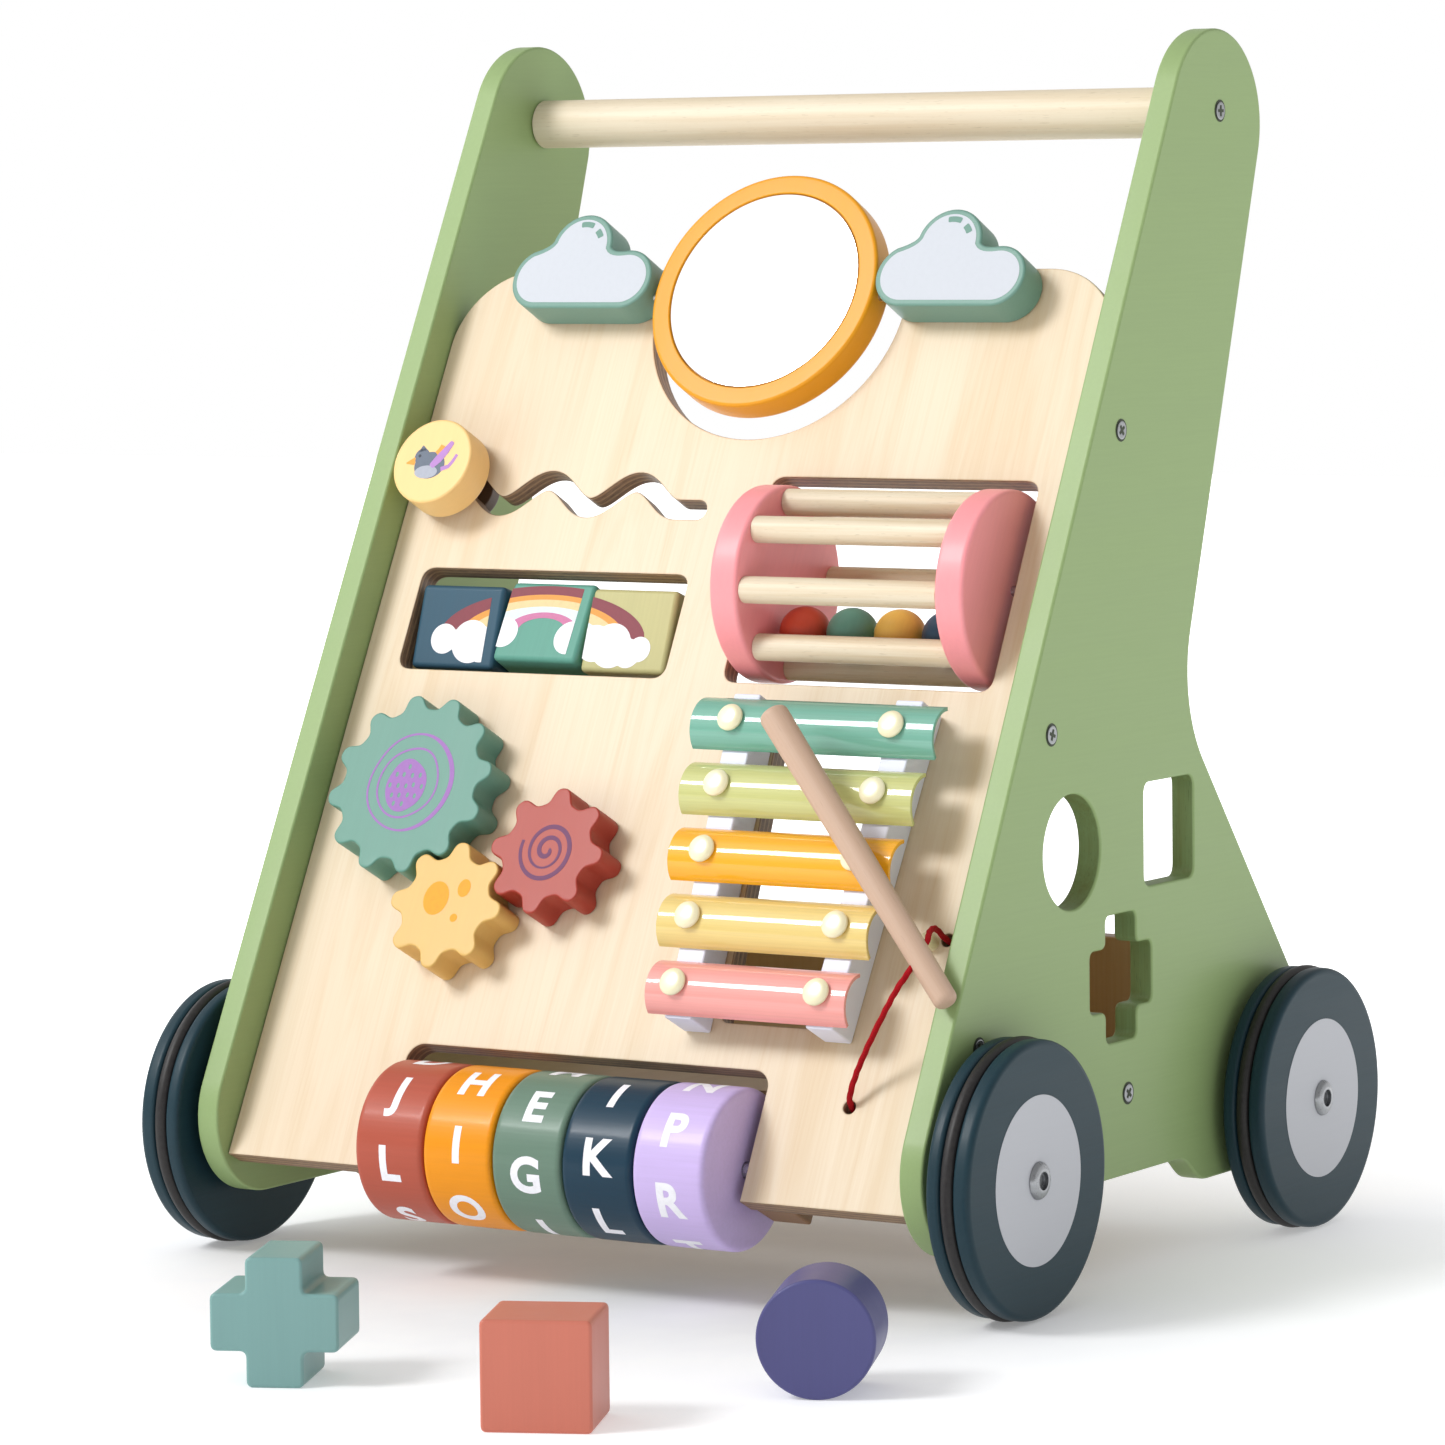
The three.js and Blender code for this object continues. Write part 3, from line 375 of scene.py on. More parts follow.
def ink(name, code, roughness=0.5, thin_spots=0.1, relief=0.1):
    """Screen-printed ink: even colour with slightly thin spots."""
    material, tree, shader = new_material(name)
    colour = rgb(code)
    thin = grain(tree, (420.0, 420.0, 420.0), detail=5, roughness=0.7)
    feed(tree, shader, {
        "Base Color": ramp(tree, thin, (0.25, shade(colour, 1 - thin_spots)), (0.55, colour)),
        "Roughness": mapped(tree, thin, roughness - 0.08, roughness + 0.08),
        "Normal": bump(tree, (thin, relief, 0.04)),
        "Specular IOR Level": 0.25,
    })
    return material


def braid(name, code):
    """Braided red cord: a fine random mottle whose darker spots paint the shade between its
    strands.
    """
    material, tree, shader = new_material(name)
    colour = rgb(code)
    strands = grain(tree, (2600.0, 2600.0, 2600.0), detail=3)
    feed(tree, shader, {
        # Darker spots: painted shade between the strands.
        "Base Color": ramp(tree, strands, (0.3, shade(colour, 0.55)), (0.65, colour),
                           (0.85, shade(colour, 1.35))),
        "Roughness": 0.8,
        "Normal": bump(tree, (strands, 0.5, 0.15)),
        "Specular IOR Level": 0.15,
    })
    return material


_made = {}


def use(maker, name, *args, **settings):
    """One material per name, made the first time that it is asked for."""
    if name not in _made:
        _made[name] = maker(name, *args, **settings)
    return _made[name]


# ---------------- outlines


def arc(cx, cy, radius, start, end, step=4.0):
    """Points along an arc, angles in degrees, about one every step degrees."""
    count = max(2, math.ceil(abs(end - start) / step))
    angles = [rad(start + (end - start) * i / count) for i in range(count + 1)]
    return [(cx + radius * math.cos(a), cy + radius * math.sin(a)) for a in angles]


def circle(cx, cy, radius, step=4.0):
    return arc(cx, cy, radius, 0, 360, step)[:-1]


def ellipse(cx, cy, rx, ry, step):
    return [(cx + rx * x, cy + ry * y) for x, y in circle(0, 0, 1, step)]


def curve_through(start, control, end, count=8):
    """Quadratic curve without its first point."""
    points = []
    for i in range(1, count + 1):
        t = i / count
        weights = ((1 - t) ** 2, 2 * t * (1 - t), t * t)
        points.append(tuple(sum(w * p[k] for w, p in zip(weights, (start, control, end)))
                            for k in (0, 1)))
    return points


def rounded(corners, radius, count=6):
    """The outline through corners with each corner rounded by a curve."""
    total = len(corners)
    points = []
    for i, corner in enumerate(corners):
        here = Vector(corner)
        before = Vector(corners[i - 1]) - here
        after = Vector(corners[(i + 1) % total]) - here
        half = before.angle(after) / 2
        reach = min(radius / math.tan(half), before.length * 0.49, after.length * 0.49)
        start = here + before.normalized() * reach
        end = here + after.normalized() * reach
        points.append(tuple(start))
        points.extend(curve_through(start, here, end, count))
    return points


def rectangle(cx, cy, width, height):
    w, h = width / 2, height / 2
    return [(cx - w, cy - h), (cx + w, cy - h), (cx + w, cy + h), (cx - w, cy + h)]


def cross(cx, cy, span, arm):
    s, a = span / 2, arm / 2
    quarter = [(s, -a), (s, a), (a, a)]
    points = []
    for k in range(4):
        c, n = round(math.cos(k * math.pi / 2)), round(math.sin(k * math.pi / 2))
        points.extend((cx + x * c - y * n, cy + x * n + y * c) for x, y in quarter)
    return points


def stroke(points, width):
    """Closed outline of a brush stroke; width is a number or a function of 0..1 along it."""
    width_at = width if callable(width) else (lambda t: width)
    left, right = [], []
    last = len(points) - 1
    for i, point in enumerate(points):
        ahead = Vector(points[min(i + 1, last)]) - Vector(points[max(i - 1, 0)])
        side = Vector((-ahead.y, ahead.x)).normalized() * width_at(i / last) / 2
        left.append(tuple(Vector(point) + side))
        right.append(tuple(Vector(point) - side))
    return left + right[::-1]


# ---------------- meshes


def finish_mesh(bm, crease=35.0):
    bmesh.ops.remove_doubles(bm, verts=bm.verts, dist=1e-6)
    bmesh.ops.recalc_face_normals(bm, faces=bm.faces)
    mesh = bpy.data.meshes.new("mesh")
    bm.to_mesh(mesh)
    bm.free()
    mesh.shade_smooth()
    mesh.set_sharp_from_angle(angle=rad(crease))
    return mesh


def mesh_from(curve):
    """Bmesh of a curve or text, which isn't kept."""
    holder = bpy.data.objects.new("holder", curve)
    raw = bpy.data.meshes.new_from_object(holder)
    bm = bmesh.new()
    bm.from_mesh(raw)
    bpy.data.objects.remove(holder)
    bpy.data.meshes.remove(raw)
    bpy.data.curves.remove(curve)
    return bm


def plate(loops, depth, edge=0.8, inset=0.0, steps=3):
    """Sheet with rounded rims: closed outlines, outer one first, filling local z 0 to depth."""
    curve = bpy.data.curves.new("outline", "CURVE")
    curve.dimensions = "2D"
    curve.fill_mode = "BOTH"
    curve.extrude = max(depth / 2 - edge, 0.0) * MM
    curve.bevel_depth = edge * MM
    curve.bevel_resolution = steps
    curve.offset = -(edge + inset) * MM
    for loop in loops:
        spline = curve.splines.new("POLY")
        spline.points.add(len(loop) - 1)
        for point, (x, y) in zip(spline.points, loop):
            point.co = (x * MM, y * MM, 0, 1)
        spline.use_cyclic_u = True
    bm = mesh_from(curve)
    bmesh.ops.translate(bm, vec=(0, 0, depth / 2 * MM), verts=bm.verts)
    return finish_mesh(bm)


def skin(bm, rings):
    """Faces between each ring of vertices and the next; a ring may be a single vertex."""
    for low, high in zip(rings, rings[1:]):
        count = max(len(low), len(high))
        for i in range(count):
            j = (i + 1) % count
            corners = [low[i % len(low)], low[j % len(low)],
                       high[j % len(high)], high[i % len(high)]]
            unique = list(dict.fromkeys(corners))
            if len(unique) > 2:
                bm.faces.new(unique)


def turned(profile, segments=96, crease=35.0):
    """Solid of revolution about local Z from (radius, height) points."""
    bm = bmesh.new()
    rings = []
    for radius, height in profile:
        if radius < 1e-6:
            rings.append([bm.verts.new((0, 0, height * MM))])
            continue
        angles = [2 * math.pi * i / segments for i in range(segments)]
        rings.append([bm.verts.new((radius * MM * math.cos(a), radius * MM * math.sin(a),
                                    height * MM)) for a in angles])
    skin(bm, rings)
    return finish_mesh(bm, crease)


def block(width, depth, height, edge):
    """Box centred on the origin with rounded edges."""
    bm = bmesh.new()
    bmesh.ops.create_cube(bm, size=1.0)
    bmesh.ops.scale(bm, vec=(width * MM, depth * MM, height * MM), verts=bm.verts)
    bmesh.ops.bevel(bm, geom=list(bm.edges), offset=edge * MM, segments=4, profile=0.5,
                    affect="EDGES", clamp_overlap=True)
    return finish_mesh(bm, 50.0)


def cylinder(radius, low, high, edge=0.0, bore=0.0, count=5):
    """Profile of a cylinder with rounded rims, about local Z."""
    corners = [(bore, low, 0), (radius, low, edge), (radius, high, edge), (bore, high, 0)]
    return fillet(corners + corners[:1] if bore else corners, count)


def rod_mesh(radius, half, edge=0.0, segments=32):
    return turned(cylinder(radius, -half, half, edge), segments)


def ball_mesh(radius):
    bm = bmesh.new()
    bmesh.ops.create_uvsphere(bm, u_segments=48, v_segments=32, radius=radius * MM)
    return finish_mesh(bm, 80.0)


def show(name, mesh, matrix, material, node=None, body=None):
    """Puts a mesh in the scene on a body, and hides the CAD node that it stands for, if any."""
    mesh.name = name
    obj = bpy.data.objects.new(name, mesh)
    bpy.context.scene.collection.objects.link(obj)
    obj.matrix_world = matrix
    if not mesh.materials:
        mesh.materials.append(material)
    if len(mesh.polygons) > 4:
        smooth = obj.modifiers.new("flat_faces", "WEIGHTED_NORMAL")
        smooth.keep_sharp = True
    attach(obj, body or BODY_OF[node])
    if node:
        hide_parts(node)
    return obj


def decal(name, loops, matrix, material, body, lift=0.0, thickness=0.06, inset=0.0):
    """Printed shape: a film that stands a hair above the face at local z = 0."""
    mesh = plate(loops, thickness, edge=0.0, inset=inset, steps=0)
    return show(name, mesh, place(matrix, z=lift), material, body=body)


# ---------------- camera, light and floor

CAMERA_AT = Vector((1.2498, -1.8987, 0.4112))
CAMERA_AZIMUTH = rad(32.013)
CAMERA_ELEVATION = rad(3.418)
CAMERA_ROLL = rad(-0.605)
CAMERA_LENS = 148.55
CAMERA_SHIFT = (-0.0398, -0.1125)

FRONT_LIGHT = 0.5
PATCH_LIGHT = 1.15
PATCH_DIRECTION = (-0.53, -0.546, 0.649)
# The floor gives off light of its own, more the farther it is from the middle: painted light that
# whitens the floor and leaves a painted shadow under the walker.
FLOOR_PAINTED_LIGHT = ((0.12, 0.14), (0.36, 0.52), (0.7, 0.95))     # metres from the middle, strength


def add_camera():
    back = Vector((
        math.sin(CAMERA_AZIMUTH) * math.cos(CAMERA_ELEVATION),
        -math.cos(CAMERA_AZIMUTH) * math.cos(CAMERA_ELEVATION),
        math.sin(CAMERA_ELEVATION),
    ))
    level = Vector((math.cos(CAMERA_AZIMUTH), math.sin(CAMERA_AZIMUTH), 0))
    upright = back.cross(level)
    right = level * math.cos(CAMERA_ROLL) + upright * math.sin(CAMERA_ROLL)
    up = back.cross(right)
    data = bpy.data.cameras.new("photo_camera")
    data.lens = CAMERA_LENS
    data.sensor_width = 36
    data.shift_x, data.shift_y = CAMERA_SHIFT
    data.clip_end = 50
    camera = bpy.data.objects.new("photo_camera", data)
    bpy.context.scene.collection.objects.link(camera)
    turn = Matrix((right, up, back)).transposed().to_4x4()
    camera.matrix_world = Matrix.Translation(CAMERA_AT) @ turn
    bpy.context.scene.camera = camera


def add_softbox(name, at, target, size, power):
    """Area light that faces its target: places and size in metres, power in watts."""
    data = bpy.data.lights.new(name, "AREA")
    data.shape = "RECTANGLE"
    data.size, data.size_y = size
    data.energy = power
    light = bpy.data.objects.new(name, data)
    bpy.context.scene.collection.objects.link(light)
    light.location = at
    light.rotation_euler = (Vector(target) - Vector(at)).to_track_quat("-Z", "Y").to_euler()


def add_world():
    """White low down behind, dimmer in front and above, with a soft bright patch up to the left."""
    world = bpy.data.worlds.new("studio")
    world.use_nodes = True
    bpy.context.scene.world = world
    tree = world.node_tree
    background = tree.nodes["Background"]
    direction = add_node(tree, "TexCoord").outputs["Generated"]
    split = add_node(tree, "SeparateXYZ")
    feed(tree, split, {"Vector": direction})
    behind = ramp(tree, split.outputs["Y"], (0.0, grey(FRONT_LIGHT)), (0.4, grey(1)))
    high = ramp(tree, split.outputs["Z"], (0.2, grey(0)), (0.4, grey(1)))
    sky = mix(tree, high, behind, grey(FRONT_LIGHT))
    facing = add_node(tree, "VectorMath", operation="DOT_PRODUCT")
    facing.inputs[1].default_value = PATCH_DIRECTION
    tree.links.new(direction, facing.inputs[0])
    patch = ramp(tree, facing.outputs["Value"], (0.86, grey(0)), (0.93, grey(1)))
    feed(tree, background, {"Color": mix(tree, patch, sky, grey(PATCH_LIGHT))})


def add_floor():
    bm = bmesh.new()
    bmesh.ops.create_grid(bm, x_segments=1, y_segments=1, size=6.0)
    floor = bpy.data.objects.new("floor", finish_mesh(bm))
    bpy.context.scene.collection.objects.link(floor)
    material, tree, shader = new_material("self_lit_floor_paper")
    paper = grain(tree, (40.0, 40.0, 40.0), detail=4)
    where = add_node(tree, "TexCoord")
    reach = add_node(tree, "VectorMath", operation="LENGTH")
    tree.links.new(where.outputs["Object"], reach.inputs[0])
    feed(tree, shader, {
        "Base Color": ramp(tree, paper, (0.3, (0.74, 0.75, 0.77, 1)), (0.7, (0.77, 0.78, 0.79, 1))),
        "Roughness": 0.8,
        # Painted light: the floor's own emission, weakest under the walker, which leaves a painted
        # shadow there.
        "Emission Color": grey(1),
        "Emission Strength": ramp(tree, reach.outputs["Value"],
                                  *[(at, grey(glow)) for at, glow in FLOOR_PAINTED_LIGHT]),
    })
    floor.data.materials.append(material)


def add_studio():
    add_world()
    bpy.context.scene.view_settings.view_transform = "Standard"
    add_softbox("key", (-1.7, -2.4, 2.7), (0, 0, 0.22), (1.1, 1.1), 78)
    add_softbox("strip", (-2.1, -2.55, 2.4), (0, 0, 0.22), (1.0, 0.07), 9)
    add_softbox("rim", (-2.6, 0.6, 1.6), (0, 0, 0.2), (1.2, 1.6), 10)
    add_floor()


# ---------------- mallet cord

CORD_RADIUS = 1.2
CORD_HOLES = ((144.4, 162.3), (119.7, 94.8))
CORD_HOLE_RADIUS = 2.5
MALLET_UPPER = Vector((72, 233.5, 42.4))
MALLET_LOWER = Vector((164, 130.4, 21))
MALLET_HOLE_FROM_LOWER = 23
MALLET_BORE = Vector((-0.2, -0.96, 0.2)).normalized()
KNOT_RADIUS = 3.4
CORD_SPARE = 12
CORD_BEHIND = -PLY - GAP - CORD_SPARE - KNOT_RADIUS


def catmull_rom(points, count):
    """Centripetal curve through points, count samples a span."""
    first = points[0] * 2 - points[1]
    last = points[-1] * 2 - points[-2]
    chain = [first, *points, last]
    out = [points[0]]
    for p0, p1, p2, p3 in zip(chain, chain[1:], chain[2:], chain[3:]):
        t0 = 0.0
        t1 = t0 + math.sqrt((p1 - p0).length)
        t2 = t1 + math.sqrt((p2 - p1).length)
        t3 = t2 + math.sqrt((p3 - p2).length)
        for i in range(1, count + 1):
            t = t1 + (t2 - t1) * i / count
            a1 = p0.lerp(p1, (t - t0) / (t1 - t0))
            a2 = p1.lerp(p2, (t - t1) / (t2 - t1))
            a3 = p2.lerp(p3, (t - t2) / (t3 - t2))
            b1 = a1.lerp(a2, (t - t0) / (t2 - t0))
            b2 = a2.lerp(a3, (t - t1) / (t3 - t1))
            out.append(b1.lerp(b2, (t - t1) / (t2 - t1)))
    return out


def cord_route():
    """Points that the cord follows, in the board frame, in mm."""
    axis = (MALLET_UPPER - MALLET_LOWER).normalized()
    hole = MALLET_LOWER + axis * MALLET_HOLE_FROM_LOWER
    (ux, uy), (lx, ly) = CORD_HOLES
    return [
        Vector((ux, uy, CORD_BEHIND)),
        Vector((ux, uy, -PLY)),
        Vector((ux, uy, -3)),
        Vector((ux, uy, 3)),
        Vector((144.4, 162.8, 6)),
        Vector((145.2, 162.5, 12)),
        Vector((147.1, 158.9, 18)),
        hole - MALLET_BORE * 6.5,
        hole - MALLET_BORE * 3,
        hole + MALLET_BORE * 3,
        hole + MALLET_BORE * 6.5,
        Vector((143.9, 131.8, 26.4)),
        Vector((125.3, 105.8, 9.4)),
        Vector((121.2, 97, 3.4)),
        Vector((lx, ly, -4)),
        Vector((lx, ly, -PLY)),
        Vector((lx, ly, CORD_BEHIND)),
    ]


def rope_mesh(path, radius, strands=3, pitch=5.6, sides=24):
    """Tube along path whose lobed section turns once every pitch mm, like laid rope."""
    bm = bmesh.new()
    rings = []
    travelled = 0.0
    side = None
    for i, point in enumerate(path):
        ahead = path[min(i + 1, len(path) - 1)] - path[max(i - 1, 0)]
        ahead.normalize()
        side = ahead.orthogonal() if side is None else side - ahead * side.dot(ahead)
        side.normalize()
        other = ahead.cross(side)
        if i:
            travelled += (point - path[i - 1]).length
        ring = []
        for k in range(sides):
            angle = 2 * math.pi * k / sides
            lobe = math.cos(strands * (angle + 2 * math.pi * travelled / pitch / strands))
            reach = radius * (0.93 + 0.1 * lobe)
            spot = point + side * (reach * math.cos(angle)) + other * (reach * math.sin(angle))
            ring.append(bm.verts.new(spot * MM))
        rings.append(ring)
    skin(bm, rings)
    bm.faces.new(rings[0][::-1])
    bm.faces.new(rings[-1])
    return finish_mesh(bm, 60.0)


def add_cord():
    red = use(braid, "cord_braid", CORD_RED)
    path = catmull_rom(cord_route(), 12)
    for side, (x, y) in zip(("upper", "lower"), CORD_HOLES):
        show(f"cord_knot_{side}", knot_mesh(), place(BOARD, x, y, CORD_BEHIND), red,
                          body=BODY_OF["mallet_cord"])
    rope = show("cord_rope", rope_mesh(path, CORD_RADIUS), BOARD, red, node="mallet_cord")


def knot_mesh():
    """Overhand knot drawn tight: a lumpy ball of three turns."""
    turns = []
    for i in range(73):
        t = 2 * math.pi * i / 72
        turns.append(Vector((
            (1.5 + 0.7 * math.cos(3 * t)) * math.cos(2 * t),
            (1.5 + 0.7 * math.cos(3 * t)) * math.sin(2 * t),
            1.1 * math.sin(3 * t),
        )))
    return rope_mesh(turns, 1.25, sides=12)


# ---------------- side panels and boards

SORTER_CIRCLE = (68.5, 165.7, 21.9)
SORTER_SQUARE = (145.6, 166.9, 40.2, 40.2)
SORTER_CROSS = (106.3, 113.9, 49, 24)
SORTER_REACH = [(*SORTER_CIRCLE[:2], 23), (*SORTER_SQUARE[:2], 29), (*SORTER_CROSS[:2], 29)]


def panel_outline():
    """Outline of a side panel in (y, z), as in the CAD: four arcs joined by tangents."""
    top, front, rear = (189, 441, 37), (-12.9, 56, 32), (229.5, 64, 38)
    lean, flare, waist = 17.7, 39.0, 55
    n1 = (math.cos(rad(lean)), -math.sin(rad(lean)))
    n2 = (math.cos(rad(flare)), math.sin(rad(flare)))
    d1 = n1[0] * top[0] + n1[1] * top[1] + top[2] + waist
    d2 = n2[0] * rear[0] + n2[1] * rear[1] + rear[2] + waist
    det = n1[0] * n2[1] - n1[1] * n2[0]
    middle = ((d1 * n2[1] - d2 * n1[1]) / det, (n1[0] * d2 - n2[0] * d1) / det)
    arch_z, arch_y, step = 37, (68, 150), 26
    front_z, rear_z = front[1] - front[2], rear[1] - rear[2]
    front_angle = 180 - math.degrees(TILT)
    points = step_curve((arch_y[0] - step, front_z), (arch_y[0], arch_z))
    points += step_curve((arch_y[1], arch_z), (arch_y[1] + step, rear_z))
    points += arc(*rear, -90, flare)
    points += arc(*middle, waist, 180 + flare, 180 - lean)
    points += arc(*top, -lean, front_angle)
    points += arc(*front, front_angle, 270)
    return points


def step_curve(start, end, count=12):
    """S-shaped step between two levels."""
    points = []
    for i in range(count + 1):
        t = i / count
        ease = 3 * t * (1 - t) ** 2 * 0.5 + 3 * t * t * (1 - t) * 0.5 + t ** 3
        rise = t * t * (3 - 2 * t)
        points.append((start[0] + (end[0] - start[0]) * ease,
                       start[1] + (end[1] - start[1]) * rise))
    return points


def add_side_panels():
    sage = use(paint, "sage_paint", SAGE, roughness=0.45, along=0, streak=0.04, relief=0.3)
    wall = use(bare_wood, "sage_cut", SAGE_CUT, along=1, contrast=0.3, roughness=0.6)
    axle_holes = [circle(y, WHEEL_RADIUS, 4 + GAP, 12) for y in (0, WHEELBASE)]
    sorter = [
        circle(*SORTER_CIRCLE),
        rounded(rectangle(*SORTER_SQUARE), 5),
        rounded(cross(*SORTER_CROSS), 3.5),
    ]
    for side, x, holes in (("left", -HALF_WIDTH, []), ("right", INNER, sorter)):
        mesh = plate([panel_outline(), *axle_holes, *holes], PLY, edge=1.1)
        for coat in (sage, wall):
            mesh.materials.append(coat)
        for face in mesh.polygons:
            y, z = face.center.x / MM, face.center.y / MM
            in_hole = any(math.hypot(y - cy, z - cz) < reach for cy, cz, reach in SORTER_REACH)
            if holes and in_hole and abs(face.normal.z) < 0.4:
                face.material_index = 1
        show(f"panel_{side}", mesh, place(WALKER, x) @ ON_SIDE, sage, node=f"side_panel_{side}")


WAVE_START, WAVE_VALLEY, WAVE_END = -133.2, -24, -14.2
WAVE_MIDDLE, WAVE_AMPLITUDE, WAVE_PERIOD = 340, 5.75, 42.2


def wave_at(x):
    """Height of the wavy slot's centre line at x, and its slope."""
    rate = 2 * math.pi / WAVE_PERIOD
    phase = math.pi + (min(x, WAVE_VALLEY) - WAVE_VALLEY) * rate
    slope = -WAVE_AMPLITUDE * rate * math.sin(phase) if x < WAVE_VALLEY else 0.0
    return WAVE_MIDDLE + WAVE_AMPLITUDE * math.cos(phase), slope


def wavy_slot(half=4.15, count=90):
    upper, lower = [], []
    for i in range(count + 1):
        x = WAVE_START + (WAVE_END - WAVE_START) * i / count
        y, slope = wave_at(x)
        side = Vector((-slope, 1)).normalized() * half
        upper.append((x + side.x, y + side.y))
        lower.append((x - side.x, y - side.y))
    end = arc(WAVE_END, wave_at(WAVE_END)[0], half, 90, -90, 15)
    start_y, slope = wave_at(WAVE_START)
    lean = math.degrees(math.atan(slope))
    start = arc(WAVE_START, start_y, half, lean - 90, lean - 270, 15)
    return upper + end[1:-1] + lower[::-1] + start[1:-1]


BOARD_HALF = INNER - GAP
BOARD_BOTTOM, BOARD_TOP, BOARD_CORNER = 55, 440, 35
MIRROR_CUT_Y, MIRROR_CUT_RADIUS = 423, 57.8
NOTCH_HALF, NOTCH_TOP, NOTCH_CORNER = 82.5, 106, 7
CUBE_SLOT = (-73.7, 284.3, 127.4, 44)
DRUM_SLOT = (77.5, 305.5, 120, 87.2)
SLOT_CORNER = 6
CHIME_X = 77.5
TRAY_FLOOR_Z, TRAY_FLOOR_MIDDLE, TRAY_FLOOR_DEPTH = 63.6, 110.85, 177.7
TRAY_WALL_Y, TRAY_WALL_MIDDLE, TRAY_WALL_HEIGHT = 210, 83, 66
HANDLE_Y, HANDLE_Z, HANDLE_RADIUS = 191, 445.5, 10


def board_outline():
    rim = math.degrees(math.asin((BOARD_TOP - MIRROR_CUT_Y) / MIRROR_CUT_RADIUS))
    corner_x, corner_y = BOARD_HALF - BOARD_CORNER, BOARD_TOP - BOARD_CORNER
    notch_x, notch_y = NOTCH_HALF - NOTCH_CORNER, NOTCH_TOP - NOTCH_CORNER
    points = [(-BOARD_HALF, BOARD_BOTTOM), (-NOTCH_HALF, BOARD_BOTTOM)]
    points += arc(-notch_x, notch_y, NOTCH_CORNER, 180, 90, 10)
    points += arc(notch_x, notch_y, NOTCH_CORNER, 90, 0, 10)
    points += [(NOTCH_HALF, BOARD_BOTTOM), (BOARD_HALF, BOARD_BOTTOM)]
    points += arc(corner_x, corner_y, BOARD_CORNER, 0, 90)
    points += arc(0, MIRROR_CUT_Y, MIRROR_CUT_RADIUS, rim, -180 - rim)
    points += arc(-corner_x, corner_y, BOARD_CORNER, 90, 180)
    return points


def chime_slot():
    corners = [(-22.5, 124), (22.5, 124), (29.5, 245), (-29.5, 245)]
    return rounded([(CHIME_X + x, y) for x, y in corners], 4)


def add_sheet(name, loops, at, ply, node):
    show(name, plate(loops, PLY, edge=0.7), at, ply, node=node)


def add_boards():
    ply = use(plywood, "birch_ply", BIRCH)
    # The tray boards get the darker plywood, which paints the shade inside the walker onto them.
    shaded_tray_ply = use(plywood, "shaded_tray_ply", TRAY_PLY_SHADED)
    loops = [
        board_outline(),
        rounded(rectangle(*CUBE_SLOT), SLOT_CORNER),
        rounded(rectangle(*DRUM_SLOT), SLOT_CORNER),
        chime_slot(),
        wavy_slot(),
        *[circle(x, y, CORD_HOLE_RADIUS, 15) for x, y in CORD_HOLES],
    ]
    add_sheet("board_sheet", loops, place(BOARD, z=-PLY), ply, "activity_board")
    width = 2 * BOARD_HALF
    tray_floor = rounded(rectangle(0, TRAY_FLOOR_MIDDLE, width, TRAY_FLOOR_DEPTH), 1.5)
    add_sheet("tray_floor", [tray_floor], place(WALKER, z=TRAY_FLOOR_Z), shaded_tray_ply, "floor_board")
    tray_wall = rounded(rectangle(0, TRAY_WALL_MIDDLE, width, TRAY_WALL_HEIGHT), 1.5)
    upright = Matrix.Rotation(math.pi / 2, 4, "X")
    add_sheet("tray_wall", [tray_wall], place(WALKER, y=TRAY_WALL_Y) @ upright, shaded_tray_ply,
              "rear_board")

    dowel = use(bare_wood, "dowel_wood", DOWEL, along=2, contrast=0.13)
    radius, ease = HANDLE_RADIUS, 0.6
    profile = [(0, 0), (radius - ease, 0), (radius, ease), (radius, width - ease),
               (radius - ease, width), (0, width)]
    show("handle_dowel", turned(profile),
         place(WALKER, -BOARD_HALF, HANDLE_Y, HANDLE_Z) @ ALONG_X, dowel, node="handle_bar")

    peg = [(0, 0), (3.1, 0), (3.1, 4.2), (2.6, 5.2), (1.4, 5.9), (0, 6.1)]
    show("cord_peg", turned(peg, 40), place(BOARD, 138.2, 160.6),
         use(bare_wood, "peg_wood", PIN_CREAM, along=2), body=BODY_OF["activity_board"])


# ---------------- wheels, bolts and screws


def fillet(corner_list, count=5):
    """Profile with corners given as (radius, height, rounding)."""
    corners = [Vector((r, h)) for r, h, _ in corner_list]
    points = []
    last = len(corners) - 1
    for i, (here, (_, _, rounding)) in enumerate(zip(corners, corner_list)):
        if i in (0, last) or not rounding:
            points.append(tuple(here))
            continue
        start = here + (corners[i - 1] - here).normalized() * rounding
        end = here + (corners[i + 1] - here).normalized() * rounding
        points.append(tuple(start))
        points.extend(curve_through(start, here, end, count))
    return points


TYRE_MIDDLE, TYRE_RADIUS = 8.6, 2.7
HUB_RADIUS, HUB_HOLE = 31.6, 4.3
BOLT_SOCKET_X = 188.62


def wheel_mesh():
    width = WHEEL_OUTER_X - WHEEL_INNER_X
    rim = WHEEL_RADIUS - 0.7
    groove = 3.1
    middle = TYRE_MIDDLE
    floor = rim - 3.2
    return turned(fillet([
        (HUB_HOLE, 0, 0), (rim, 0, 2.4), (rim, middle - groove, 1.5),
        (floor, middle - groove + 0.6, 0), (floor, middle + groove - 0.6, 0),
        (rim, middle + groove, 1.5), (rim, width, 2.6), (HUB_HOLE, width, 0),
        (HUB_HOLE, 0, 0),
    ]), 128, 40)


def tyre_mesh():
    section = arc(WHEEL_RADIUS - TYRE_RADIUS, TYRE_MIDDLE, TYRE_RADIUS, 0, 360, 15)
    return turned(section, 128, 80)


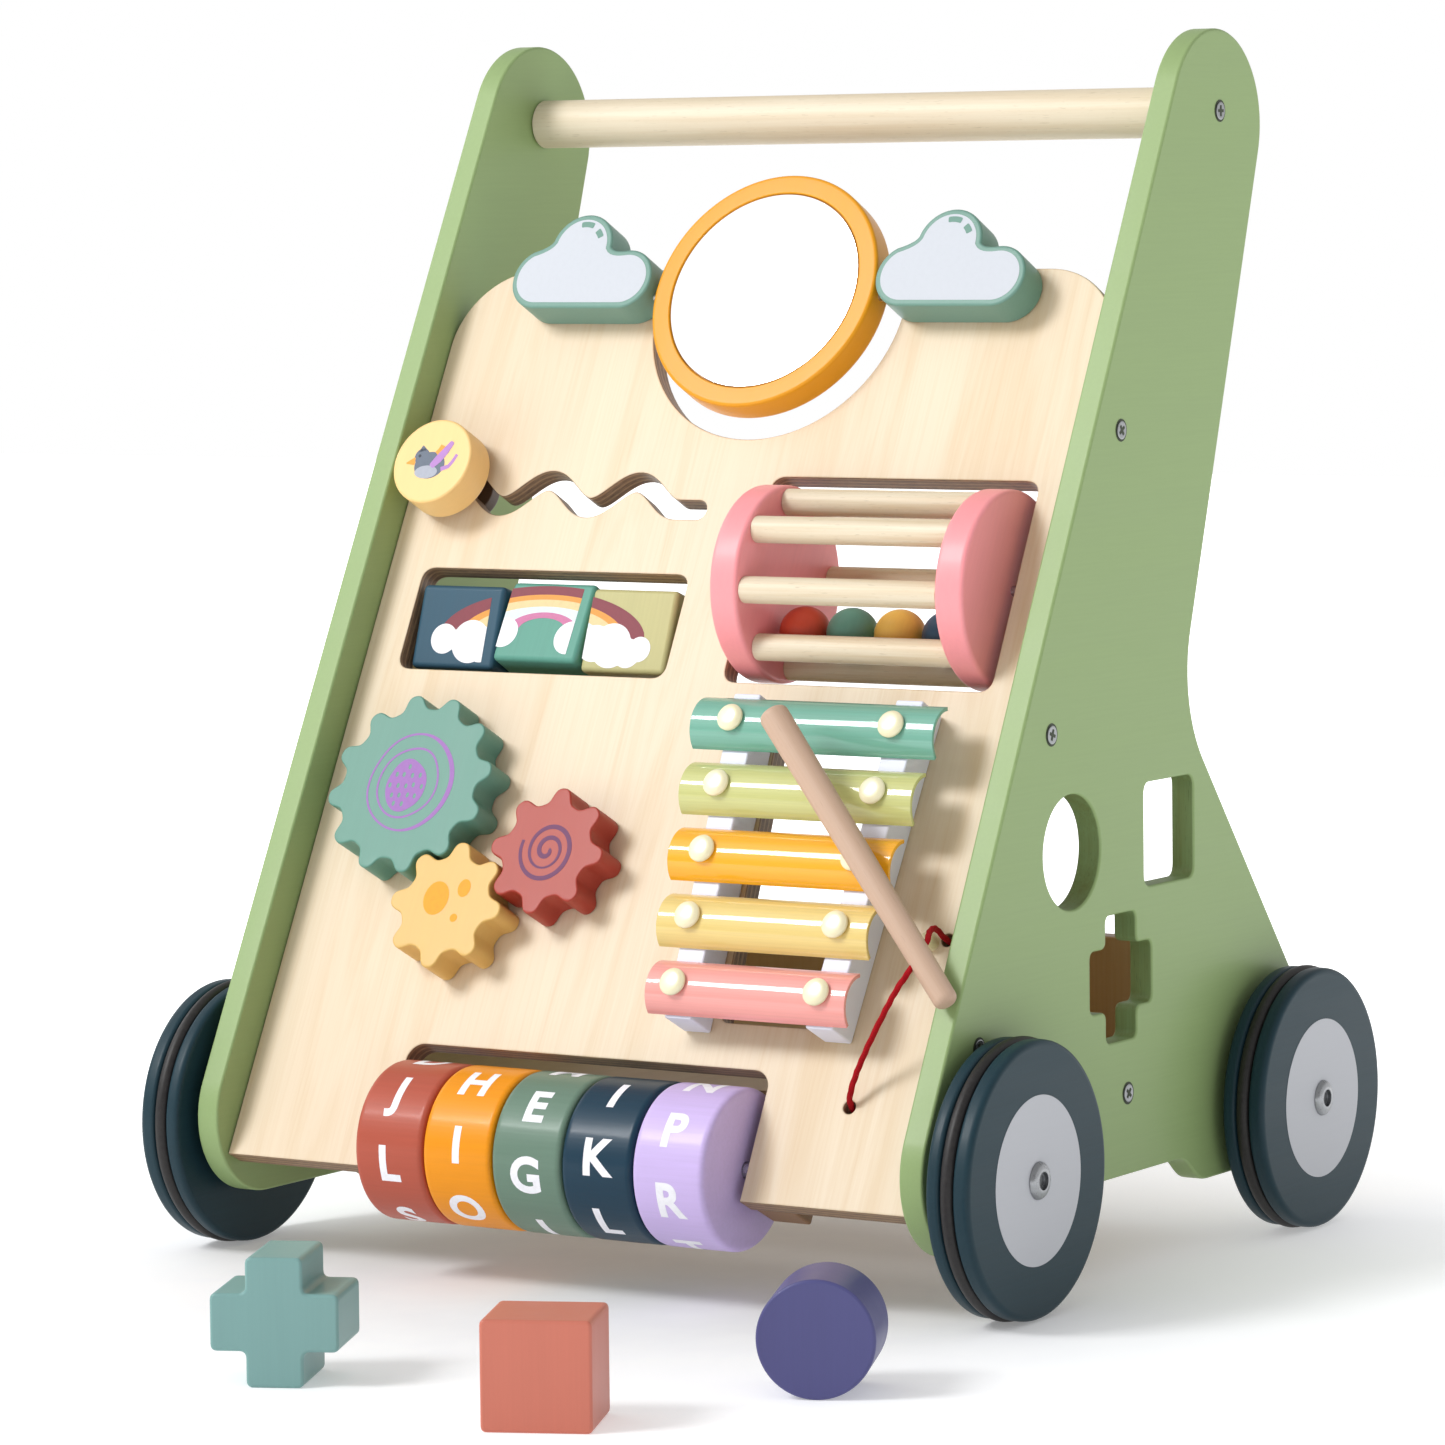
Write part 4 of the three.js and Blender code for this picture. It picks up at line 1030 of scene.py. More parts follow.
def bolt_mesh():
    """Button-head bolt, spacer collar and nut on one shank, from the nut outwards."""
    return turned(fillet([
        (0, 149.5, 0), (7, 149.5, 0.6), (7, 154.7, 0.3), (4, 154.7, 0), (4, 165.3, 0),
        (8, 165.3, 0.4), (8, 169.6, 0.4), (4, 169.6, 0), (4, 188.2, 0), (7.2, 188.2, 0.3),
        (6.6, 189.6, 0.9), (4.2, 190.5, 0.8), (3.5, 190.4, 0.2), (3.3, 188.7, 0),
        (0, 188.7, 0),
    ], 3), 64, 30)


def add_wheels():
    blue = use(paint, "wheel_paint", WHEEL_BLUE, roughness=0.42, streak=0.1, relief=0.35,
               coat=0.03, gloss=0.22)
    black = use(rubber, "tyre_rubber")
    steel = use(zinc, "bolt_steel", "A3A5A8")
    grey_paint = use(paint, "hub_paint", HUB_GREY, roughness=0.5, streak=0.015, relief=0.1)
    # Darker steel for the hex socket: painted shade.
    socket = use(zinc, "socket_shade_steel", "6E7072", roughness=0.4)
    wheel, tyre, bolt = wheel_mesh(), tyre_mesh(), bolt_mesh()
    hub_face = [circle(0, 0, HUB_RADIUS, 3), circle(0, 0, HUB_HOLE, 12)]
    hexagon = rounded(circle(0, 0, 2.9, 60), 0.3, count=3)
    for end, y in (("front", 0), ("rear", WHEELBASE)):
        for side, sign in SIDES:
            tag = f"{end}_{side}"
            axle = place(WALKER, 0, y, WHEEL_RADIUS) @ Matrix.Rotation(sign * math.pi / 2, 4, "Y")
            hub = place(axle, z=WHEEL_INNER_X)
            show(f"rim_{tag}", wheel.copy(), hub, blue, node=f"wheel_{tag}")
            show(f"ring_{tag}", tyre.copy(), hub, black, node=f"tyre_{tag}")
            show(f"bolt_{tag}", bolt.copy(), axle, steel, node=f"wheel_bolt_{tag}")
            face = place(axle, z=WHEEL_OUTER_X)
            decal(f"hub_disc_{tag}", hub_face, face, grey_paint, BODY_OF[f"wheel_{tag}"],
                  lift=0.02, thickness=0.08)
            # A darker hexagon at the bottom of the bolt's cup: painted shade for its deep hex
            # socket.
            decal(f"bolt_socket_{tag}", [hexagon], place(axle, z=BOLT_SOCKET_X), socket,
                  BODY_OF[f"wheel_bolt_{tag}"], thickness=0.1)


SCREW_PLACES = [(191.2, 445.8), (108.9, 323.6), (53.1, 211.4), (-3, 100), (110.7, 68.6),
                (205, 62)]


def screw_mesh(radius):
    return turned(fillet([
        (0, 0, 0), (radius * 0.9, 0, 0), (radius, 0.35, 0), (radius * 0.92, 0.5, 0.2),
        (radius * 0.3, 0.42, 0), (0, 0.4, 0),
    ], 3), 48, 40)


def add_screw(name, matrix, radius=3.5):
    """Countersunk cross-head screw level with the surface at local z = 0: a painted shadow ring
    stands for its recess and a painted shadow cross for its slot.
    """
    body = BODY_OF["side_panel_right"]
    steel = use(zinc, "screw_steel", "9A9C9E", roughness=0.3)
    dark = use(ink, "recess_shadow", "3A4230")
    show(name, screw_mesh(radius), matrix, steel, body=body)
    # Painted shadow: a dark ring for the recess round the head and a dark cross for the slot.
    decal(f"{name}_recess", [circle(0, 0, radius + 0.9, 12)], matrix, dark, body, 0.01)
    slot = rounded(cross(0, 0, radius * 1.25, radius * 0.34), 0.15, count=2)
    decal(f"{name}_cross", [slot], place(matrix, z=0.5), dark, body, thickness=0.05)


def add_screws():
    """The same screws in both panels: handle, three for the board, tray floor and tray wall."""
    for side, sign in SIDES:
        for i, (y, z) in enumerate(SCREW_PLACES):
            face = place(WALKER, sign * (HALF_WIDTH + 0.05), y, z)
            turn = face @ Matrix.Rotation(sign * math.pi / 2, 4, "Y")
            add_screw(f"screw_{side}_{i + 1}", turn @ Matrix.Rotation(rad(35 * i), 4, "Z"))


# ---------------- mirror and clouds

MIRROR_Y, MIRROR_Z = 424, 8
MIRROR_RADIUS, GLASS_RADIUS = 51, 42.4


def add_mirror():
    amber = use(paint, "amber_paint", AMBER, roughness=0.36, streak=0.03, relief=0.15)
    half = 6.3
    ring = turned(fillet([
        (0, -half, 0), (MIRROR_RADIUS, -half, 1.6), (MIRROR_RADIUS, half, 1.6), (42.9, half, 0.6),
        (42.6, half - 2.4, 0), (0, half - 2.4, 0),
    ]), 144)
    centre = place(BOARD, 0, MIRROR_Y, MIRROR_Z)
    show("mirror_ring", ring, centre, amber, node="mirror_frame")
    glass = turned(fillet([
        (0, 3.9, 0), (GLASS_RADIUS, 3.9, 0), (GLASS_RADIUS, 5.9, 0.3), (0, 5.9, 0),
    ]), 144)
    show("mirror_disc", glass, centre, use(mirror, "mirror"), node="mirror_glass")
    show("mirror_rod", rod_mesh(2, 63), centre @ ALONG_X, use(zinc, "zinc"),
         node="mirror_axle")


CLOUD_THICKNESS = 16
CLOUD_CROWN = (-7, 27.5, 14.5)
CLOUD_PLACES = (("left", -84, 415), ("right", 88.3, 416))


def cloud_outline():
    """Three round lobes over a flat base, about the middle of the base."""
    left, right, crown = (-23, 13.5, 13.5), (17.5, 13, 13), CLOUD_CROWN
    points = arc(*right, -90, 100, 6)
    points += curve_through(points[-1], (crown[0] + crown[2] + 1.5, crown[1] - 2.5),
                            (crown[0] + crown[2], crown[1]), 6)
    points += arc(*crown, 0, 170, 6)[1:]
    end = arc(*left, 120, 270, 6)
    points += curve_through(points[-1], (left[0] + 0.5, crown[1]), end[0], 6)
    return points + end[1:]


def add_clouds():
    teal = use(paint, "cloud_paint", CLOUD_TEAL, roughness=0.42, streak=0.05)
    face = use(ink, "cloud_face_ink", CLOUD_FACE, thin_spots=0.03, relief=0.02)
    mark = use(ink, "cloud_mark_ink", CLOUD_TEAL)
    dashes = [
        stroke(arc(*CLOUD_CROWN[:2], 9.9, 68, 104, 6), 2.4),
        stroke(arc(*CLOUD_CROWN[:2], 9.3, 26, 50, 6), 2.7),
    ]
    for side, x, y in CLOUD_PLACES:
        base = place(BOARD, x, y, GAP)
        body = BODY_OF[f"cloud_{side}"]
        show(f"cloud_block_{side}", plate([cloud_outline()], CLOUD_THICKNESS, 1.0), base, teal,
             node=f"cloud_{side}")
        top = place(base, z=CLOUD_THICKNESS)
        decal(f"cloud_face_{side}", [cloud_outline()], top, face, body, 0.01, 0.06, inset=2.4)
        for i, dash in enumerate(dashes):
            decal(f"cloud_dash_{side}_{i + 1}", [rounded(dash, 0.8, count=2)], top, mark, body,
                  0.08)


# ---------------- knob in the wavy slot


KNOB_RADIUS, KNOB_BASE_Z, KNOB_TOP_Z = 18.5, 4.5, 19.5
RETAINER_RADIUS = 11


def add_knob():
    yellow = use(paint, "knob_paint", KNOB_YELLOW, roughness=0.4, streak=0.03)
    base = place(BOARD, WAVE_START, wave_at(WAVE_START)[0], 0)
    behind = -PLY - GAP
    disc = turned(fillet([
        (0, behind - 3, 0), (2.2, behind - 3, 0), (2.2, KNOB_BASE_Z, 0),
        (KNOB_RADIUS, KNOB_BASE_Z, 1.0), (KNOB_RADIUS, KNOB_TOP_Z, 1.3), (0, KNOB_TOP_Z, 0),
    ]), 128)
    show("knob_disc", disc, base, yellow, node="slider_knob")
    cap = turned(fillet([
        (0, behind - 6, 0), (RETAINER_RADIUS, behind - 6, 1.2), (RETAINER_RADIUS, behind, 0.6),
        (2.5, behind, 0), (2.5, behind - 3.3, 0), (0, behind - 3.3, 0),
    ]), 64)
    # The retainer's dark colour is painted shade behind the board.
    show("knob_back", cap, base, use(bare_wood, "shaded_retainer_wood", RETAINER_WOOD_SHADED, along=0),
         node="slider_retainer")
    add_bird(place(base, z=KNOB_TOP_Z), BODY_OF["slider_knob"])


BIRD_SCALE = 1.14


def add_bird(face, body):
    """A plain little bird in four inks, looking left."""
    slate = use(ink, "bird_slate", "66707F")
    pale = use(ink, "bird_belly", "A9ADBA")
    lilac = use(ink, "bird_lilac", "B383C4")
    orange = use(ink, "bird_orange", "F2A041")
    dark = use(ink, "bird_dark", "3A3F4A")
    breast = ellipse(-0.6, -1.8, 6.4, 5.2, 12)
    head = circle(-4.6, 1.7, 3.1, 15)
    crest = rounded([(-6.6, 3.2), (-5.2, 6.2), (-3.0, 4.2)], 0.5)
    belly = ellipse(-1.5, -4.4, 4.8, 2.5, 12)
    beak = rounded([(-7.2, 1.6), (-11.4, -1.0), (-7.0, -1.6)], 0.5)
    wing = stroke([(0.2, -2.4), (2.6, 0.4), (5.0, 3.6), (7.2, 7.2)],
                  lambda t: 1.8 + 1.6 * math.sin(math.pi * min(1.0, t + 0.1)))
    tail = stroke([(4.6, -3.4), (7.6, -2.4), (9.0, -0.4), (10.2, 2.2)], lambda t: 1.7 - 0.5 * t)
    feather = stroke([(1.4, 2.6), (2.6, 4.0), (3.4, 5.8)], 2.0)
    shapes = [("body", breast, slate, 0.0), ("head", head, slate, 0.03),
              ("crest", crest, slate, 0.03), ("tail", tail, lilac, 0.02),
              ("belly", belly, pale, 0.05), ("beak", beak, orange, 0.05),
              ("feather", feather, orange, 0.05), ("wing", rounded(wing, 0.8), lilac, 0.08),
              ("eye", circle(-5.6, 1.9, 0.6, 30), dark, 0.08)]
    turn = face @ Matrix.Rotation(rad(2), 4, "Z")
    for name, loop, material, lift in shapes:
        outline = [(BIRD_SCALE * x, BIRD_SCALE * y) for x, y in loop]
        decal(f"bird_{name}", [outline], turn, material, body, 0.01 + lift, 0.05)


# ---------------- picture cubes

CUBE_SIZE = (40, 34.5)
CUBE_PITCH = 41
CUBE_AXLE_Z = -18.5
CUBE_BLOCK_SIZE = (12, 30, 19)
CUBE_LEAN = {"blue": 9, "teal": -2.6, "lime": 7}
RAINBOW_BASE = -4.5
RAINBOW_EDGES = [(49.5, 20.0), (40, 16.2), (36, 14.0), (29, 10.9), (17, 8.4), (11.5, 5.9)]
RAINBOW_INKS = {"maroon": "86434C", "orange": "E39B4A", "cream": "DFCB98", "white": "D8E6EC",
                "pink": "C878A0"}
PRINT_EDGES = {"blue": (-19.4, 14.4), "teal": (-19.4, 14.9), "lime": (-19.4, 19.4)}
PRINT_CLOUDS = {
    "blue": [(-5.5, -5.2, 6.2), (7.5, -6.0, 8.9), (13, -7, 7.4)],
    "teal": [(-17.5, -5.5, 6.5), (14.5, -6.9, 7.2)],
    "lime": [(-15, -5.6, 7.6), (-6.8, -6.3, 9.2), (1.5, -9.2, 6.0), (6.6, -7.4, 5.2)],
}


def band_outline(outer, inner, low, high, count=28):
    """Part of an elliptic band, from x = low to high; its edges are (half width, height)."""
    def level(size, x):
        width, height = size
        return RAINBOW_BASE + height * math.sqrt(max(0.0, 1 - (x / width) ** 2))

    low, high = max(low, -outer[0]), min(high, outer[0])
    xs = [low + (high - low) * i / count for i in range(count + 1)]
    return [(x, level(outer, x)) for x in xs] + [(x, level(inner, x)) for x in xs[::-1]]


def puffs_outline(puffs, left, right, count=60):
    """Outline of a row of round puffs cut off at two upright lines, from their tops and bottoms."""
    low = max(left, min(x - r for x, y, r in puffs))
    high = min(right, max(x + r for x, y, r in puffs))
    tops, bottoms = [], []
    for i in range(count + 1):
        x = low + (high - low) * (1 - math.cos(math.pi * i / count)) / 2
        chords = [(y, math.sqrt(r * r - (x - cx) ** 2)) for cx, y, r in puffs
                  if abs(x - cx) <= r]
        if chords:
            tops.append((x, max(y + half for y, half in chords)))
            bottoms.append((x, min(y - half for y, half in chords)))
    return bottoms + tops[::-1]


def add_cubes():
    white = use(ink, "print_cloud_ink", "F1F1F5")
    width, side = CUBE_SIZE
    for index, (colour, lean) in enumerate(CUBE_LEAN.items()):
        body = BODY_OF[f"picture_cube_{colour}"]
        base = Matrix.Translation(PIVOT[body]) @ BOARD.to_3x3().to_4x4()
        base = base @ Matrix.Rotation(rad(lean), 4, "X")
        coat = use(paint, f"cube_{colour}_print", CUBE_COLOURS[colour], roughness=0.5,
                   streak=0.07, relief=0.5, coat=0.05)
        show(f"cube_{colour}", block(width, side, side, 2.2), base, coat,
             node=f"picture_cube_{colour}")
        face = place(base, z=side / 2)
        left, right = PRINT_EDGES[colour]
        middle = (index - 1) * CUBE_PITCH
        for band, (name, code) in enumerate(RAINBOW_INKS.items()):
            outer, inner = RAINBOW_EDGES[band:band + 2]
            if middle + left >= outer[0] or middle + right <= -outer[0]:
                continue
            loop = band_outline(outer, inner, middle + left, middle + right)
            decal(f"rainbow_{colour}_{name}", [[(x - middle, y) for x, y in loop]], face,
                  use(ink, f"rainbow_{name}", code), body, 0.01)
        groups = [PRINT_CLOUDS[colour]]
        if colour == "teal":
            groups = [[puff] for puff in PRINT_CLOUDS[colour]]
        for i, puffs in enumerate(groups):
            decal(f"puff_{colour}_{i + 1}", [puffs_outline(puffs, left, right)], face, white,
                  body, 0.07)

    wood = use(bare_wood, "block_wood", DOWEL, along=0)
    centre = place(BOARD, *CUBE_SLOT[:2], CUBE_AXLE_Z)
    show("cube_rod", rod_mesh(AXLE_RADIUS, 73.7, 0.4), centre @ ALONG_X, use(zinc, "zinc"),
         node="cube_axle")
    thick, _, height = CUBE_BLOCK_SIZE
    reach = CUBE_SLOT[2] / 2 + 1 + thick / 2
    for end, sign in SIDES:
        at = place(centre, sign * reach, 0, -CUBE_AXLE_Z - PLY - GAP - height / 2)
        show(f"cube_block_{end}", block(*CUBE_BLOCK_SIZE, 1.0), at, wood,
             node=f"cube_axle_block_{end}")


# ---------------- ball drum


DRUM_Z = -PLY / 2
DRUM_RADIUS, DISC_WIDTH, DRUM_HALF = 38.8, 12.5, 56.5
ROD_CIRCLE, ROD_RADIUS, ROD_COUNT = 32.2, 5.3, 8
PIN_X, PIN_RADIUS, PIN_HALF = 60, 2, 4
BALL_CIRCLE, BALL_RADIUS = 19.3, 10.2
BALL_PLACES = {"red": -32.1, "green": -10.7, "yellow": 10.7, "navy": 32.1}


def add_drum():
    pink = use(paint, "drum_paint", DRUM_PINK, roughness=0.38, streak=0.04, relief=0.3)
    dowel = use(bare_wood, "drum_rod_wood", DOWEL, along=2, contrast=0.22)
    centre = place(BOARD, *DRUM_SLOT[:2], DRUM_Z)
    body = BODY_OF["drum_cage"]
    level = math.pi / 2 - TILT
    disc = cylinder(DRUM_RADIUS, 0, DISC_WIDTH, 2.0)
    for side, sign, x, node in (("left", -1, -DRUM_HALF, "drum_cage"),
                                ("right", 1, DRUM_HALF - DISC_WIDTH, "drum_disc_right")):
        show(f"drum_disc_{side}", turned(disc, 128), place(centre, x) @ ALONG_X, pink, node=node)
        show(f"drum_pin_{side}", rod_mesh(PIN_RADIUS, PIN_HALF, segments=24),
             place(centre, sign * PIN_X) @ ALONG_X, use(zinc, "zinc"), body=body)
    inner = DRUM_HALF - DISC_WIDTH
    play = 0.1
    rod = cylinder(ROD_RADIUS, 0, 2 * inner - 3 * play, 0.3)
    for i in range(ROD_COUNT):
        angle = math.pi + i * 2 * math.pi / ROD_COUNT - level
        spot = place(centre, play - inner, ROD_CIRCLE * math.cos(angle),
                     ROD_CIRCLE * math.sin(angle))
        turn = Matrix.Rotation(rad(47 * i), 4, "Z")
        show(f"drum_rod_{i + 1}", turned(rod, 48), spot @ ALONG_X @ turn, dowel, body=body)
    angle = rad(-112.5) - level
    for colour, x in BALL_PLACES.items():
        spot = place(centre, x, BALL_CIRCLE * math.cos(angle), BALL_CIRCLE * math.sin(angle))
        gloss = use(paint, f"ball_{colour}_paint", BALL_COLOURS[colour], roughness=0.4)
        show(f"ball_{colour}", ball_mesh(BALL_RADIUS), spot, gloss, node=f"drum_ball_{colour}")


# ---------------- gears

GEAR_MODULE = 5.9
GEAR_THICKNESS = 15
GEAR_LIFT = 0.4
YELLOW_AT, YELLOW_TEETH, YELLOW_PHASE = (-72.5, 158.2), 8, rad(42.5)
TEAL_TEETH, TEAL_DIRECTION = 12, rad(123.2)
CORAL_TEETH, CORAL_DIRECTION = 8, rad(31.5)


def gear_outline(teeth, phase, count=20):
    pitch_radius = GEAR_MODULE * teeth / 2
    steep = 1.5
    points = []
    for i in range(teeth * count):
        angle = 2 * math.pi * i / (teeth * count)
        wave = math.cos(teeth * (angle - phase)) - 0.16
        radius = pitch_radius - 0.45 + 3.1 * math.tanh(steep * wave) / math.tanh(steep)
        points.append((radius * math.cos(angle), radius * math.sin(angle)))
    return points


def meshing_phase(teeth, direction):
    """Phase of a gear whose gap takes the yellow tooth next to the line of centres."""
    step = 2 * math.pi / YELLOW_TEETH
    lead = (YELLOW_PHASE - direction) % step
    return direction + math.pi - lead * YELLOW_TEETH / teeth + math.pi / teeth


def neighbour(teeth, direction):
    """A gear that meshes with the yellow one: its teeth, its centre and its phase."""
    reach = GEAR_MODULE * (teeth + YELLOW_TEETH) / 2
    centre = (YELLOW_AT[0] + reach * math.cos(direction),
              YELLOW_AT[1] + reach * math.sin(direction))
    return teeth, centre, meshing_phase(teeth, direction)


def gear_layout():
    return {
        "teal": neighbour(TEAL_TEETH, TEAL_DIRECTION),
        "yellow": (YELLOW_TEETH, YELLOW_AT, YELLOW_PHASE),
        "coral": neighbour(CORAL_TEETH, CORAL_DIRECTION),
    }


def wobbly_ring(rx, ry, wobble, width, seed, shift=(0, 0)):
    """Hand-drawn closed ring: two outlines, the outer one and its hole."""
    def edge(offset):
        loop = []
        for k in range(72):
            a = 2 * math.pi * k / 72
            swell = 1 + wobble * noise.noise(Vector((math.cos(a), math.sin(a), seed)))
            thick = offset * width(a)
            loop.append((shift[0] + (rx * swell + thick) * math.cos(a),
                         shift[1] + (ry * swell + thick) * math.sin(a)))
        return loop
    return [edge(0.5), edge(-0.5)]


def add_gear_prints(layout):
    top = GEAR_LIFT + GEAR_THICKNESS

    def face(colour):
        return place(BOARD, *layout[colour][1], top), BODY_OF[f"gear_{colour}"]

    purple = use(ink, "print_purple", "9C6DB2")
    at, body = face("teal")
    rings = [wobbly_ring(19.4, 20.4, 0.05, lambda a: 0.9 + 1.3 * max(0.0, math.cos(a)), 1,
                         (0.4, 0.4)),
             wobbly_ring(14.0, 14.6, 0.06, lambda a: 0.9, 4, (-0.6, 0))]
    for i, loops in enumerate(rings):
        decal(f"teal_ring_{i + 1}", loops, at, purple, body, 0.01)
    blob = wobbly_ring(9.4, 11.2, 0.1, lambda a: 0.001, 9, (-1.2, -1.0))[0]
    random.seed(5)
    dots = []
    for row in range(-2, 3):
        for column in range(-2, 3):
            x = column * 3.9 + (1.9 if row % 2 else 0) + random.uniform(-0.4, 0.4)
            y = row * 4.1 + random.uniform(-0.4, 0.4)
            if math.hypot(x, y * 0.84) < 7.6:
                dots.append(ellipse(x - 1.2, y - 1.0, 0.75, 1.15, 40))
    decal("teal_blob", [blob, *dots], at, purple, body, 0.01)

    orange = use(ink, "print_orange", "F0A024")
    at, body = face("yellow")
    for i, (x, y, rx, ry) in enumerate([(-4.9, 2.4, 5.8, 7.0), (7.0, 7.2, 2.9, 3.7),
                                        (5.6, -5.2, 1.7, 1.7)]):
        decal(f"yellow_spot_{i + 1}", [ellipse(x, y, rx, ry, 15)], at, orange, body, 0.01)

    violet = use(ink, "print_violet", "6C3B60")
    at, body = face("coral")
    turns = 2.6
    line = []
    for k in range(110):
        t = k / 109
        a = rad(20) - 2 * math.pi * turns * t
        r = 0.8 + 11.6 * t ** 0.9
        line.append((0.4 + r * math.cos(a), 0.2 + 1.05 * r * math.sin(a)))
    spiral = stroke(line, lambda t: 0.8 + 1.2 * abs(math.sin(math.pi * (0.15 + 1.7 * t))))
    decal("coral_spiral", [spiral], at, violet, body, 0.01)


def add_gears():
    layout = gear_layout()
    peg_wood = use(bare_wood, "peg_wood", PIN_CREAM, along=2)
    for colour, (teeth, (x, y), phase) in layout.items():
        coat = use(paint, f"gear_{colour}_paint", GEAR_COLOURS[colour], roughness=0.42,
                   streak=0.04)
        mesh = plate([gear_outline(teeth, phase)], GEAR_THICKNESS, 0.7)
        show(f"gear_wheel_{colour}", mesh, place(BOARD, x, y, GEAR_LIFT), coat,
             node=f"gear_{colour}")
        show(f"gear_washer_{colour}", turned(cylinder(9, 0, 0.35), 32), place(BOARD, x, y),
             peg_wood, body=BODY_OF["activity_board"])
    add_gear_prints(layout)


# ---------------- chimes

CHIME_TOP_Y, CHIME_PITCH = 237.7, 26.8
CHIME_LENGTHS = [108, 103, 98, 93, 88]
CHIME_WIDTH, CHIME_RISE, CHIME_SHEET = 21.5, 6.5, 1.5
RAIL_HEIGHT, RAIL_HALF = 16, 6
RAIL_BOTTOM, RAIL_TOP = (31.1, 119), (36.2, 251)        # distance from the chimes' middle, y


def rail_offset(y):
    (low_x, low_y), (high_x, high_y) = RAIL_BOTTOM, RAIL_TOP
    return low_x + (y - low_y) * (high_x - low_x) / (high_y - low_y)


def add_chimes():
    ring = ((CHIME_WIDTH / 2) ** 2 + CHIME_RISE ** 2) / (2 * CHIME_RISE)
    reach = math.degrees(math.asin(CHIME_WIDTH / 2 / ring))
    centre = CHIME_RISE - ring
    section = arc(0, centre, ring, 90 - reach, 90 + reach, 5)
    section += arc(0, centre, ring - CHIME_SHEET, 90 + reach, 90 - reach, 5)
    lift = RAIL_HEIGHT + GAP + CHIME_SHEET * math.cos(rad(reach))
    cream = use(paint, "pin_paint", PIN_CREAM, roughness=0.3, streak=0.02, coat=0.4)
    white = use(paint, "rail_paint", RAIL_WHITE, roughness=0.55, streak=0.02)
    crown = lift + CHIME_RISE
    head = turned(fillet([
        (0, RAIL_HEIGHT, 0), (2.4, RAIL_HEIGHT, 0), (2.4, crown + 0.3, 0),
        (5.3, crown + 0.3, 0.3), (5.5, crown + 1.4, 0.6), (3.9, crown + 2.9, 0.8),
        (0, crown + 3.3, 0),
    ], 4), 48, 60)
    for i, (colour, length) in enumerate(zip(CHIME_COLOURS, CHIME_LENGTHS)):
        y = CHIME_TOP_Y - i * CHIME_PITCH
        coat = use(enamel, f"chime_{colour}_enamel", CHIME_COLOURS[colour])
        show(f"chime_{colour}", plate([section], length, 0.35),
             place(BOARD, CHIME_X - length / 2, y, lift) @ ON_SIDE, coat,
             node=f"chime_bar_{colour}")
        for side, sign in SIDES:
            show(f"pin_{side}_{i + 1}", head.copy(),
                 place(BOARD, CHIME_X + sign * rail_offset(y), y, 0), cream,
                 body=BODY_OF[f"chime_rail_{side}"])
    for side, sign in SIDES:
        corners = [(CHIME_X + sign * rail_offset(y) + edge * RAIL_HALF, y)
                   for y, edge in ((RAIL_BOTTOM[1], -1), (RAIL_BOTTOM[1], 1),
                                   (RAIL_TOP[1], 1), (RAIL_TOP[1], -1))]
        show(f"rail_{side}", plate([rounded(corners, 1)], RAIL_HEIGHT - GAP, 0.8),
             place(BOARD, z=GAP), white, node=f"chime_rail_{side}")


def add_mallet():
    axis = MALLET_UPPER - MALLET_LOWER
    length = axis.length
    profile = fillet([(0, 0, 0), (4.6, 0, 3.2), (5.8, length, 2.6), (0, length, 0)], 8)
    turn = axis.to_track_quat("Z", "Y").to_matrix().to_4x4()
    wood = use(bare_wood, "mallet_wood", MALLET_WOOD, along=2, contrast=0.1, roughness=0.6,
               pores=0.12)
    show("mallet_stick", turned(profile, 64),
         place(BOARD, *MALLET_LOWER) @ turn, wood, node="mallet")


# ---------------- letter rollers

ROLLER_Y, ROLLER_Z = 68.7, -PLY / 2
ROLLER_RADIUS, ROLLER_WIDTH, ROLLER_PITCH = 30.7, 31.2, 31.7
SUPPORT_SIZE = (17, 40, 14)
SUPPORT_X, SUPPORT_Y = 92, 75.3
LETTER_SIZE = 19
LETTERS = ["JLSAFUD", "HIOBDTV", "EGIWATM", "IKLCUNY", "NPRTEOX"]
FIRST_LETTER = [16.5, 34.8, 17.5, 34.8, 59.5]          # degrees up from facing straight out


def letter_mesh(letter, size, radius):
    """A bold capital wrapped round a roller: local x along its axis, y round it."""
    font = bpy.data.curves.new("letter", "FONT")
    font.body = letter
    font.size = size * MM
    font.offset = 0.035 * size * MM
    font.align_x = "CENTER"
    font.align_y = "CENTER"
    font.resolution_u = 6
    bm = mesh_from(font)
    ys = [v.co.y for v in bm.verts]
    middle = (min(ys) + max(ys)) / 2
    bmesh.ops.translate(bm, vec=(0, -middle, 0), verts=bm.verts)
    for k in range(-10, 11):
        geometry = [*bm.verts, *bm.edges, *bm.faces]
        bmesh.ops.bisect_plane(bm, geom=geometry, plane_co=(0, k * 1.1 * MM, 0),
                               plane_no=(0, 1, 0))
    for v in bm.verts:
        angle = v.co.y / (radius * MM)
        v.co = Vector((v.co.x, radius * MM * math.sin(angle), radius * MM * math.cos(angle)))
    return finish_mesh(bm, 80.0)


